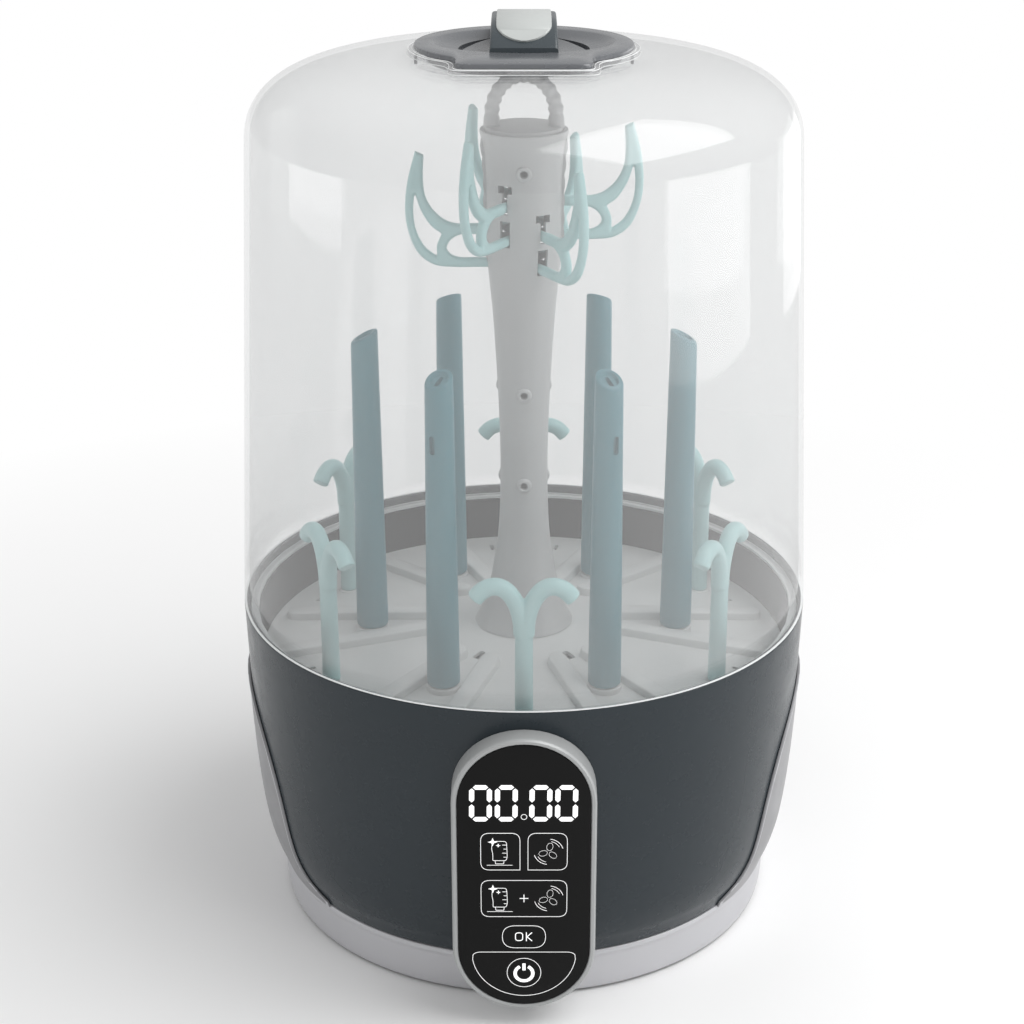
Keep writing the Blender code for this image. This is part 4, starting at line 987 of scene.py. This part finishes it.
def make_dome():
    outer = [(0.0565, 0.4260)] + dome_crown() + [(DOME_R, 0.1660, 0.001), (DOME_R, 0.1603, 0.0006)]
    foot = [(0.1370, 0.1603), (0.1370, 0.1560, 0.0004), (0.1343, 0.1560, 0.0004), (0.1343, 0.1640, 0.001)]
    inner = [(DOME_R - 0.0026, 0.1690)] + dome_crown(0.0026)[::-1]
    top = [(0.0565, 0.4234), (0.0455, 0.4234), (0.0455, 0.4270, 0.0003), (0.0540, 0.4270)]
    mesh = turned("dome", rounded(outer + foot + inner + top), "clear_dome", FINE_STEPS, 40)
    show("dome_wall", mesh, "dome", ["dome_shell"])
    rings = []
    levels = [(0.0026, 0.4262), (0.0030, 0.4280), (0.0026, COLLAR_Z), (0.0007, COLLAR_Z), (0.0006, 0.4262)]
    for grow, z in levels:
        rings.append([(x, y, z) for x, y in collar_line(grow)])
    bm = bmesh.new()
    add_loft(bm, rings, ends_meet=True)
    latch = oblong(0.0078, 0.0031, 0.0008, (0.0, -0.0591))
    add_slab(bm, [(x, y, 0.4262) for x, y in latch], (0, 0, 0.0018))
    show("dome_collar", to_mesh(bm, "dome_collar", "clear_dome", 50), "dome")
    # Painted highlights: thin near-white tubes along the collar's edges stand in for glints on the clear
    # plastic.
    bm = bmesh.new()
    for grow, z in ((0.0026, COLLAR_Z), (0.0030, 0.4266), (0.0008, COLLAR_Z)):
        line = [(x, y, z) for x, y in collar_line(grow)]
        add_tube(bm, line + line[:1], 0.00018, 6)
    show("collar_painted_highlights", to_mesh(bm, "collar_painted_highlights", "painted_highlight_edge"), "dome")
    # Painted highlights: thin near-white rings at the spigot's foot and along the rim stand in for the
    # glints along the dome's joint with the shell.
    glint = [(0.1366, 0.1559), (0.1370, 0.1559), (0.1370, 0.1562), (0.1366, 0.1562)]
    show("spigot_painted_highlight", turned("spigot_painted_highlight", glint, "painted_highlight_edge"), "dome")
    glint = [(0.1390, 0.16025), (DOME_R + 0.0001, 0.16025), (DOME_R + 0.0001, 0.1605), (0.1390, 0.1605)]
    show("rim_painted_highlight", turned("rim_painted_highlight", glint, "painted_highlight_edge"), "dome")


def collar_line(grow):
    """The clear collar's outline, this far outside the cap's."""
    return resampled(cap_outline(CAP_R + grow, CAP_FRONT - grow, TAB_HALF + grow, 0.0060), 160)


TAB_HALF = 0.0300
DISH_MIDDLE, DISH_HALF = 0.0038, (0.0425, 0.0350)


def oval(inset, count=160):
    """The dish's outline, drawn in by inset."""
    wide, deep = DISH_HALF[0] - inset, DISH_HALF[1] - inset * DISH_HALF[1] / DISH_HALF[0]
    turns = [math.tau * k / count for k in range(count)]
    return resampled([(-wide * math.sin(t), DISH_MIDDLE + deep * math.cos(t)) for t in turns], count)


def make_cap():
    """One skin: the inner sleeve, the flange, the tabbed rim and the dish, with the vents cut from it."""
    count = 160
    flange = COLLAR_Z + GAP
    rings = []
    sleeve = [(0.0400, 0.4249), (0.0404, 0.4226), (0.0436, 0.4226), (0.0446, 0.4232), (0.0446, flange)]
    for radius, z in sleeve:
        rings.append([spot(180 + 360 * k / count, radius, z) for k in range(count)])
    for inset, z in ((0.0, flange), (0.0, CAP_Z - 0.0009), (0.0003, CAP_Z - 0.0003), (0.0009, CAP_Z)):
        outline = cap_outline(CAP_R - inset, CAP_FRONT + inset, TAB_HALF - inset, 0.0055)
        rings.append([(x, y, z) for x, y in resampled(outline, count)])
    dish = [(0.0, 0.0), (0.0006, 0.0002), (0.0040, 0.0020)]
    dish += [(0.0085, 0.0034), (0.0150, 0.0041), (0.0300, 0.0044)]
    for inset, drop in dish:
        rings.append([(x, y, CAP_Z - drop) for x, y in oval(inset)])
    bm = bmesh.new()
    add_loft(bm, rings)
    mesh = to_mesh(bm, "vent_cap", "cap_slate", 30)
    slots = [mesh_of("vent", lambda made, way=side: crescent(made, way)) for side in (-1, 1)]
    show("cap", cut(mesh, slots, sharp=30), "dome", ["vent_cap"])
    bm = bmesh.new()
    for angle in (88, 272):
        turn = Matrix.Rotation(math.radians(angle), 4, "Z")
        clip = oblong(0.0020, 0.00075, 0.0006, (0.0, -0.04955))
        add_slab(bm, [(x, y, 0.4215) for x, y in clip], (0, 0, 0.0040), turn)
    show("cap_clips", to_mesh(bm, "cap_clips", "cap_slate"), "dome")


def crescent(bm, side):
    """A crescent-shaped cutter for one vent, round the dish's middle."""
    outline = []
    for k in range(17):
        outline.append(spot(side * blend(70, 150, k / 16), 0.0302))
    for k in range(1, 16):
        share = 1 - k / 16
        outline.append(spot(side * blend(70, 150, share), 0.0302 - 0.0034 * math.sin(math.pi * share)))
    add_slab(bm, [(p.x, p.y + DISH_MIDDLE, 0.4256) for p in outline], (0, 0, 0.02))


STRAP_MIDDLE, STRAP_REACH = 0.0040, 0.0335


def strap_point(share, lift=0.0):
    """A place on the strap's top line, or above it by lift, as a (y, z) vector."""

    def place(at):
        return Vector((STRAP_MIDDLE + STRAP_REACH * at, CAP_Z + 0.0019 + 0.0099 * (1 - abs(at) ** 3)))

    along = (place(share + 0.002) - place(share - 0.002)).normalized()
    return place(share) + Vector((-along.y, along.x)) * lift


def make_handle():
    """Bridge strap with soft edges, and its light plate with half-round ends."""
    shares = [math.sin(math.radians(a)) for a in range(-90, 91, 5)]
    shares = sorted([s for s in shares if abs(abs(s) - 0.80) > 0.02] + [-0.801, -0.799, 0.799, 0.801])
    rings = []
    for share in shares:
        top = strap_point(share)
        under = CAP_Z - 0.0040 if abs(share) > 0.80 else top.y - 0.0042
        half = HANDLE_HALF - 0.0006 * (top.y - CAP_Z) / 0.0127
        section = [(-half, under, 0.0006), (half, under, 0.0006)]
        section += [(half, top.y, 0.0016), (-half, top.y, 0.0016)]
        rings.append([(x, top.x, z) for x, z in rounded(section, steps=4)])
    bm = bmesh.new()
    add_loft(bm, rings)
    show("handle_strap", to_mesh(bm, "handle", "handle_slate", 40), "dome", ["handle"])
    reach, end = 0.92, 0.0120
    line = [blend(-reach, reach, k / 400) for k in range(401)]
    lengths = [0.0]
    for one, two in zip(line, line[1:]):
        lengths.append(lengths[-1] + (strap_point(two) - strap_point(one)).length)
    rings = []
    rows = 44
    for row in range(rows + 1):
        goal = lengths[-1] * (0.5 - 0.5 * math.cos(math.pi * row / rows))
        index = min(range(401), key=lambda k: abs(lengths[k] - goal))
        inward = min(end, goal, lengths[-1] - goal)
        width = max(0.0005, INLAY_HALF * math.sqrt(max(0.0, 1 - (1 - inward / end) ** 2)))
        under, edge, top = [strap_point(line[index], lift) for lift in (-0.0004, 0.0005, 0.0009)]
        shrink = min(0.0005, width * 0.5)
        ring = [(-width, under), (width, under), (width, edge), (width - shrink, top)]
        ring += [(shrink - width, top), (-width, edge)]
        rings.append([(x, p.x, p.y) for x, p in ring])
    bm = bmesh.new()
    add_loft(bm, rings)
    show("handle_plate", to_mesh(bm, "handle_inlay", "light_grey", 40), "dome", ["handle_inlay"])


# ---------------------------------------------------------------- rack

TRAY_SLOPE = (0.1410 - 0.1310) / (0.1290 - 0.0255)


def tray_z(radius):
    return 0.1410 - TRAY_SLOPE * (radius - 0.0255)


def make_tray():
    profile = [
        (0.0255, 0.1410, 0.002),
        (0.0300, 0.1400, 0.002),
        (0.1285, 0.1310, 0.0020),
        (TRAY_R, 0.1316, 0.0012),
        (TRAY_R, 0.1266, 0.0006),
        (0.1290, 0.1266),
        (0.1280, 0.1288),
        (0.0255, 0.1388),
        (0.0165, 0.1388),
        (0.0165, 0.1410, 0.0005),
    ]
    mesh = turned("tray", rounded(profile), "tray_grey", FINE_STEPS)
    slots = bmesh.new()
    for angle in POST_ANGLES:
        turn = Matrix.Rotation(math.radians(angle), 4, "Z")
        corners = [(-0.0016, -0.0400), (0.0016, -0.0400), (0.00224, -0.0475), (-0.00224, -0.0475)]
        outline = rounded([(*corner, 0.0015) for corner in corners])
        add_slab(slots, [(x, y, 0.132) for x, y in outline], (0, 0, 0.014), turn)
    for angle in FORK_ANGLES:
        for side in (-1, 1):
            turn = Matrix.Rotation(math.radians(angle + side * 9), 4, "Z")
            outline = oblong(0.0012, 0.004, 0.001, (0.0, -0.114))
            add_slab(slots, [(x, y, 0.124) for x, y in outline], (0, 0, 0.014), turn)
    show("tray_disc", cut(mesh, [to_mesh(slots, "slots", "tray_grey")]), "rack", ["tray"])
    bm = bmesh.new()
    for angle in POST_ANGLES:
        for side in (-1, 1):
            add_rib(bm, angle + side * RIB_SPREAD)
    show("tray_ridges", to_mesh(bm, "tray_ridges", "tray_grey", 50), "rack")
    bm = bmesh.new()
    for angle in POST_ANGLES:
        c = spot(angle, POST_CIRCLE)
        profile = [(0.0, 0.1378), (0.0082, 0.1378, 0.0005), (0.0084, 0.1340), (0.0, 0.1340)]
        add_turned(bm, rounded(profile, closed=False), 40, (c.x, c.y))
    for angle in FORK_ANGLES:
        c = spot(angle, FORK_CIRCLE)
        z = tray_z(FORK_CIRCLE)
        profile = [(0.0, z + 0.0006), (0.0052, z + 0.0006, 0.0006), (0.0058, z - 0.0012), (0.0, z - 0.0012)]
        add_turned(bm, rounded(profile, closed=False), 32, (c.x, c.y))
    show("tray_seats", to_mesh(bm, "tray_seats", "tray_grey"), "rack")


RIB_SPREAD = 10.7  # degrees from a post's angle to the rib on each side of it


def add_rib(bm, angle):
    """A low flat-topped ridge with round ends, along a radius of the tray."""
    start, end, half = 0.0450, 0.1250, 0.0047
    middle = (start + end) / 2
    tilt = Matrix.Rotation(math.radians(angle), 4, "Z")
    tilt @= Matrix.Translation((0, -middle, tray_z(middle))) @ Matrix.Rotation(math.atan(TRAY_SLOPE), 4, "X")
    rings = []
    for inset, lift in ((-0.0004, -0.0010), (0.0, 0.0028), (0.0003, 0.0034), (0.0009, 0.0036)):
        radius, straight = half - inset, (end - start) / 2 - half
        ring = []
        for centre, first in ((-straight, 180), (straight, 0)):
            for k in range(13):
                turn = math.radians(first + 180 * k / 12)
                ring.append(tilt @ Vector((radius * math.cos(turn), centre + radius * math.sin(turn), lift)))
        rings.append(ring)
    add_loft(bm, rings)


COLUMN = [
    (0.0205, COLUMN_TOP),
    (0.0206, COLUMN_TOP - 0.0014),
    (0.0192, 0.3835),
    (0.0187, 0.3775),
    (0.0181, 0.3680),
    (0.0180, 0.3520),
    (0.0178, 0.3340),
    (0.0164, 0.3180),
    (0.0150, 0.3035),
    (0.0136, 0.2820),
    (0.0124, 0.2585),
    (0.0116, 0.2300),
    (0.0119, 0.2058),
    (0.0130, 0.1870),
    (0.0150, 0.1733),
    (0.0170, 0.1623),
    (0.0205, 0.1500),
    (0.0245, 0.1413),
]
NOZZLES = (0.3737, 0.2647, 0.2178)
NOZZLE_ANGLES = (0, 120, 240)


def make_column():
    """Hollow tower with nozzles, keyholes and a wavy moulded seam down both sides of its upper part."""
    wall = 0.0018
    outer = [tuple(p) for p in smooth_line(COLUMN, 5)]
    inner = [(r - wall, z) for r, z in outer[6::3]][::-1]
    profile = outer + [(0.0245, COLUMN_LOW), (0.0245 - wall, COLUMN_LOW)] + inner + [(0.0188, COLUMN_TOP)]
    mesh = turned("column", profile, "rack_grey", 128, 40)
    holes = bmesh.new()
    for angle, underside in zip(HOOK_ANGLES, HOOK_HEIGHTS):
        turn = Matrix.Rotation(math.radians(angle), 4, "Z")
        for outline in keyhole(underside):
            add_slab(holes, [(x, -0.0100, z) for x, z in outline], (0, -0.02, 0), turn)
    bores = bmesh.new()
    for height in NOZZLES:
        for angle in NOZZLE_ANGLES:
            add_tube(bores, [spot(angle, 0.005, height), spot(angle, 0.030, height)], 0.0017, 16)
    cutters = [to_mesh(holes, "keyholes", "rack_grey"), to_mesh(bores, "bores", "rack_grey")]
    show("column_tower", cut(mesh, cutters, sharp=40), "rack", ["column"])
    bosses = bmesh.new()
    for height in NOZZLES:
        for angle in NOZZLE_ANGLES:
            boss(bosses, angle, height, radius_on(COLUMN, height))
    show("nozzle_rings", to_mesh(bosses, "nozzle_rings", "rack_grey", 50), "rack")
    show("tower_seams", mesh_of("tower_seams", add_seams, "rack_grey", 50), "rack")


def add_seams(bm):
    """Wavy flanges on the left and right of the tower."""
    for side in (-1, 1):
        outer, inner = [], []
        for k in range(81):
            z = blend(0.3872, 0.3290, k / 80)
            wave = 0.0006 * abs(math.sin(math.pi * (z - 0.3290) / 0.0083)) + 0.0005
            fade = min(1.0, k / 4, (80 - k) / 10)
            r = radius_on(COLUMN, z)
            outer.append((side * (r + wave * fade), -0.0042, z))
            inner.append((side * (r - 0.0014), -0.0042, z))
        add_slab(bm, outer + inner[::-1], (0, 0.0084, 0))


def boss(bm, angle, height, radius):
    """A raised ring round a nozzle hole."""
    centre = spot(angle, 1.0).normalized()
    across = centre.cross(Vector((0, 0, 1)))
    profile = [(0.0017, -0.0008), (0.0017, 0.0008), (0.0020, 0.0012)]
    profile += [(0.0030, 0.0012), (0.0036, 0.0006), (0.0039, -0.0008)]
    rings = []
    for step in range(24):
        turn = math.tau * step / 24
        ring = []
        for r, lift in profile:
            flat = across * (r * math.cos(turn)) + Vector((0, 0, r * math.sin(turn)))
            ring.append(centre * (radius + lift) + flat + Vector((0, 0, height)))
        rings.append(ring)
    add_loft(bm, rings, ends_meet=True)


def keyhole(underside):
    """Openings for one hook: a window for its lower bar, and a T for its upper bar and lug."""
    half, neck, wide, travel, gap = 0.0026, 0.0014, 0.0037, 0.0070, 0.0003
    window_top = underside + BAR + travel + gap
    low_z, top = underside + 0.0156 - gap, underside + 0.0214 + travel + gap
    step = top - 0.0036
    lower = [(-half, underside - gap), (half, underside - gap), (half, window_top), (-half, window_top)]
    right = [(neck, low_z), (neck, step), (wide, step), (wide, top)]
    return lower, right + [(-x, z) for x, z in reversed(right)]


LOOP_WAVES = 14


def make_loop():
    """Plug on the column's top and the wavy loop above it."""
    plug = [(0.0, 0.3928), (0.0178, 0.3928, 0.0006), (0.0184, 0.3914, 0.0004)]
    plug += [(0.0180, 0.3845, 0.0004), (0.0, 0.3845)]
    mesh = turned("loop_plug", rounded(plug, closed=False), "rack_grey", 96)
    show("loop_plug", mesh, "rack", ["column_loop"])
    half, base, spring, rise = 0.0150, 0.3915, 0.3965, 0.0192
    line = [(half, 0, base)]
    for k in range(97):
        turn = math.radians(blend(0, 180, k / 96))
        line.append((half * math.cos(turn), 0, spring + rise * math.sin(turn) ** 0.92))
    line.append((-half, 0, base))

    def size(share):
        wave = math.cos(share * math.tau * LOOP_WAVES)
        return blend(0.0036, 0.0031, math.sin(math.pi * share)) + 0.0003 * wave

    bm = bmesh.new()
    add_tube(bm, line, size, 18)
    show("loop_bow", to_mesh(bm, "loop_bow", "rack_grey", 60), "rack")


def hook_outlines():
    """Edge and hole of a crown hook, (radius, height over the lower bar's middle)."""
    end, half, low_bar, high_bar = 0.0129, 0.0023, 0.0136, 0.0188
    runs = [
        [
            (end, -half),
            (0.0240, -half),
            (0.0330, -half),
            (0.0425, -0.0012),
            (0.0502, 0.0045),
            (0.0547, 0.0150),
            (0.0560, 0.0262),
            (0.0546, 0.0390),
            (0.0508, 0.0532),
        ],
        [
            (0.0468, 0.0514),
            (0.0473, 0.0405),
            (0.0465, 0.0325),
            (0.0432, 0.0258),
            (0.0378, 0.0208),
            (0.0320, high_bar),
            (0.0240, high_bar),
            (end, high_bar),
        ],
        [
            (end, low_bar),
            (0.0240, low_bar),
            (0.0300, 0.0134),
            (0.0345, 0.0110),
            (0.0366, 0.0070),
            (0.0345, 0.0038),
            (0.0300, half),
            (0.0240, half),
            (end, half),
        ],
    ]
    hole = [
        [(0.0514, 0.0335), (0.0521, 0.0250), (0.0511, 0.0160), (0.0472, 0.0078), (0.0414, 0.0030)],
        [(0.0412, 0.0034), (0.0412, 0.0082), (0.0389, 0.0138)],
        [(0.0392, 0.0141), (0.0440, 0.0178), (0.0485, 0.0250), (0.0512, 0.0332)],
    ]
    return [[tuple(p) for run in shape for p in smooth_line(run, 6)] for shape in (runs, hole)]


def make_hooks():
    curve = bpy.data.curves.new("crown_hook", "CURVE")
    curve.dimensions = "2D"
    curve.fill_mode = "BOTH"
    curve.extrude = 0.0004
    curve.bevel_depth = 0.0019
    curve.bevel_resolution = 3
    curve.offset = -0.0019
    for outline in hook_outlines():
        spline = curve.splines.new("POLY")
        spline.points.add(len(outline) - 1)
        spline.use_cyclic_u = True
        for point, (x, z) in zip(spline.points, outline):
            point.co = (x, z, 0, 1)
    holder = bpy.data.objects.new("work", curve)
    bpy.context.scene.collection.objects.link(holder)
    flat = apply_modifiers(holder)
    bpy.data.objects.remove(holder)
    flat.transform(Matrix(((0, 0, -1, 0), (-1, 0, 0, 0), (0, 1, 0, 0), (0, 0, 0, 1))))
    flat.materials.clear()
    flat.materials.append(MATERIALS["pale_aqua"])
    mesh = melted(flat, 0.0004, 5)
    for vertex in mesh.vertices:
        if vertex.co.z > 0.0100:  # the upper bar's neck, thin enough for the keyhole's stem
            vertex.co.x *= 0.46 + 0.54 * min(1.0, max(0.0, (-vertex.co.y - 0.0186) / 0.0030))
    for number, (angle, underside) in enumerate(zip(HOOK_ANGLES, HOOK_HEIGHTS), 1):
        name = f"crown_hook_{number}"
        show(f"hook_{number}", mesh, name + "_body", [name], angle, (0, 0, underside + BAR / 2))


def post_mesh():
    """Tapered hollow post with a slanted, rounded top, a slot in the slant and one in its outer side."""
    slant = math.tan(math.radians(27))
    steps = 48
    height = POST_TOP - POST_LOW

    def ring(radius, level, slanted):
        made = []
        for k in range(steps):
            turn = math.tau * k / steps
            x, y = radius * math.sin(turn), -radius * math.cos(turn)
            z = level + (y * slant if slanted else 0.0)
            made.append((x, y, z))
        return made

    top = height - 0.0064 * slant
    levels = [(0.0050, 0.004), (0.0050, 0.0), (0.0074, 0.0), (0.0079, 0.0006)]
    levels += [(blend(0.0080, 0.0066, k / 9), blend(0.0016, height - 0.012, k / 9)) for k in range(10)]
    rings = [ring(radius, level, False) for radius, level in levels]
    lip = [(0.0065, 0.0011), (0.0062, 0.0004), (0.0055, 0.0)]
    lip += [(0.0044, 0.0), (0.0040, 0.0008), (0.0036, 0.0016)]
    rings += [ring(radius, top - drop, True) for radius, drop in lip]
    bm = bmesh.new()
    add_loft(bm, rings)
    mesh = to_mesh(bm, "bottle_post", "post_blue_grey", 40)
    slots = bmesh.new()
    outline = oblong(0.0014, 0.0045, 0.0014, (0.0, height - 0.0335))
    add_slab(slots, [(x, -0.0045, z) for x, z in outline], (0, -0.01, 0))
    outline = oblong(0.0011, 0.0030, 0.001)
    add_slab(slots, [(x, y, height - 0.014) for x, y in outline], (0, 0, 0.03))
    return cut(mesh, [to_mesh(slots, "slots", "post_blue_grey")], sharp=40)


def make_posts():
    mesh = post_mesh()
    for number, angle in enumerate(POST_ANGLES, 1):
        c = spot(angle, POST_CIRCLE)
        show(f"post_{number}", mesh, "rack", [f"bottle_post_{number}"], angle, (c.x, c.y, POST_LOW))


def make_forks():
    bm = bmesh.new()
    foot = FORK_LOW
    add_tube(bm, [(0, 0, z) for z in (0.0, 0.02, 0.04, 0.0550)], lambda s: blend(0.00435, 0.0041, s), 24)
    for side in (-1, 1):
        points = [
            (0.0010, 0.1830),
            (0.0014, 0.1905),
            (0.0036, 0.1985),
            (0.0077, 0.2047),
            (0.0128, 0.2070),
            (0.0182, 0.2053),
            (0.0224, 0.2011),
        ]
        line = [(side * p[0], 0, p[1] - foot) for p in smooth_line(points, 6)]
        add_tube(bm, line, lambda s: blend(0.0040, 0.0041, s), 24)
    mesh = melted(to_mesh(bm, "fork", "pale_aqua", 60), 0.00065, 4)
    for number, angle in enumerate(FORK_ANGLES, 1):
        c = spot(angle, FORK_CIRCLE)
        show(f"fork_piece_{number}", mesh, "rack", [f"fork_{number}"], angle, (c.x, c.y, foot))


# ---------------------------------------------------------------- CAD nodes that stay, stage, light, camera


def dress_nodes():
    """Gives each CAD node that stays the finish of its slot."""
    slots = {row["node"]: row["material_slot"] for row in frame["record"]["subparts"]}
    for name, node in frame["nodes"].items():
        node.data.materials.clear()
        node.data.materials.append(MATERIALS[slots[name]])


def make_floor():
    """Pale paper that fades into plain white away from the object."""
    made = Shading("floor_paper", (0.86, 0.86, 0.86), 0.75)
    made.tint(made.noise(3.0), 0.008)
    made.roughen(made.noise(30.0), 0.1)
    glow = made.node("Emission", Strength=1.0)
    distance = made.node("VectorMath")
    distance.operation = "LENGTH"
    made.link(made.place, distance.inputs[0])
    fade = made.ranged(distance.outputs["Value"], 0.0, 1.0, 0.20, 0.75)
    made.surface(made.mixed(fade, made.shader.outputs["BSDF"], glow.outputs["Emission"]))
    bm = bmesh.new()
    bmesh.ops.create_circle(bm, cap_ends=True, segments=96, radius=6.0)
    mesh = bpy.data.meshes.new("floor")
    bm.to_mesh(mesh)
    bm.free()
    mesh.materials.append(made.material)
    floor = bpy.data.objects.new("floor", mesh)
    LOOK.objects.link(floor)


ROOM_LIGHT = 0.66


def softbox(name, place, aim, wide, tall, radiance):
    """A rectangular light of an even brightness, where 1 is paper white."""
    data = bpy.data.lights.new(name, "AREA")
    data.shape = "RECTANGLE"
    data.size, data.size_y = wide, tall
    data.energy = radiance * math.pi * wide * tall
    light = bpy.data.objects.new(name, data)
    light.location = place
    light.rotation_euler = (Vector(aim) - Vector(place)).to_track_quat("-Z", "Y").to_euler()
    LOOK.objects.link(light)


def make_light():
    """A white room that lights less than it shows, and four softboxes, the strongest on the right."""
    world = bpy.data.worlds.new("studio")
    bpy.context.scene.world = world
    world.use_nodes = True
    nodes, links = world.node_tree.nodes, world.node_tree.links
    back = nodes["Background"]
    back.inputs["Color"].default_value = (1, 1, 1, 1)
    seen = nodes.new("ShaderNodeLightPath")
    strength = nodes.new("ShaderNodeMapRange")
    strength.inputs["To Min"].default_value = ROOM_LIGHT
    strength.inputs["To Max"].default_value = 1.0  # the room as the camera sees it
    links.new(seen.outputs["Is Camera Ray"], strength.inputs["Value"])
    links.new(strength.outputs["Result"], back.inputs["Strength"])
    softbox("above", (0.75, -0.25, 1.4), (0, 0, 0.2), 1.4, 1.1, 3.2)
    softbox("right", (0.80, -0.22, 0.26), (0, 0, 0.24), 0.62, 0.25, 2.4)
    softbox("left", (-0.80, -0.06, 0.29), (0, 0, 0.27), 0.42, 0.09, 2.1)
    softbox("behind", (0.80, 0.80, 0.25), (0, 0, 0.20), 0.50, 0.40, 1.6)
    bpy.context.scene.view_settings.view_transform = "Standard"


LENS, VIEW_SHIFT = 72.03, -0.0117
CAMERA_BACK, CAMERA_Z, CAMERA_DOWN = 0.9474, 0.5829, 22.04  # in front of the axis, height, degrees down


def make_camera():
    """Fitted to the photograph, straight from the front."""
    data = bpy.data.cameras.new("camera")
    data.lens = LENS
    data.sensor_width = 36.0
    data.shift_x = VIEW_SHIFT
    data.clip_start, data.clip_end = 0.01, 30.0
    camera = bpy.data.objects.new("camera", data)
    camera.location = (0.0, AXIS_Y - CAMERA_BACK, CAMERA_Z)
    camera.rotation_euler = (math.radians(90 - CAMERA_DOWN), 0.0, 0.0)
    LOOK.objects.link(camera)
    bpy.context.scene.camera = camera


dress_nodes()
make_shell()
make_tub()
make_ring()
make_trims()
make_filter()
make_inlet()
make_panel()
make_dome()
make_cap()
make_handle()
make_tray()
make_column()
make_loop()
make_hooks()
make_posts()
make_forks()
make_floor()
make_light()
make_camera()
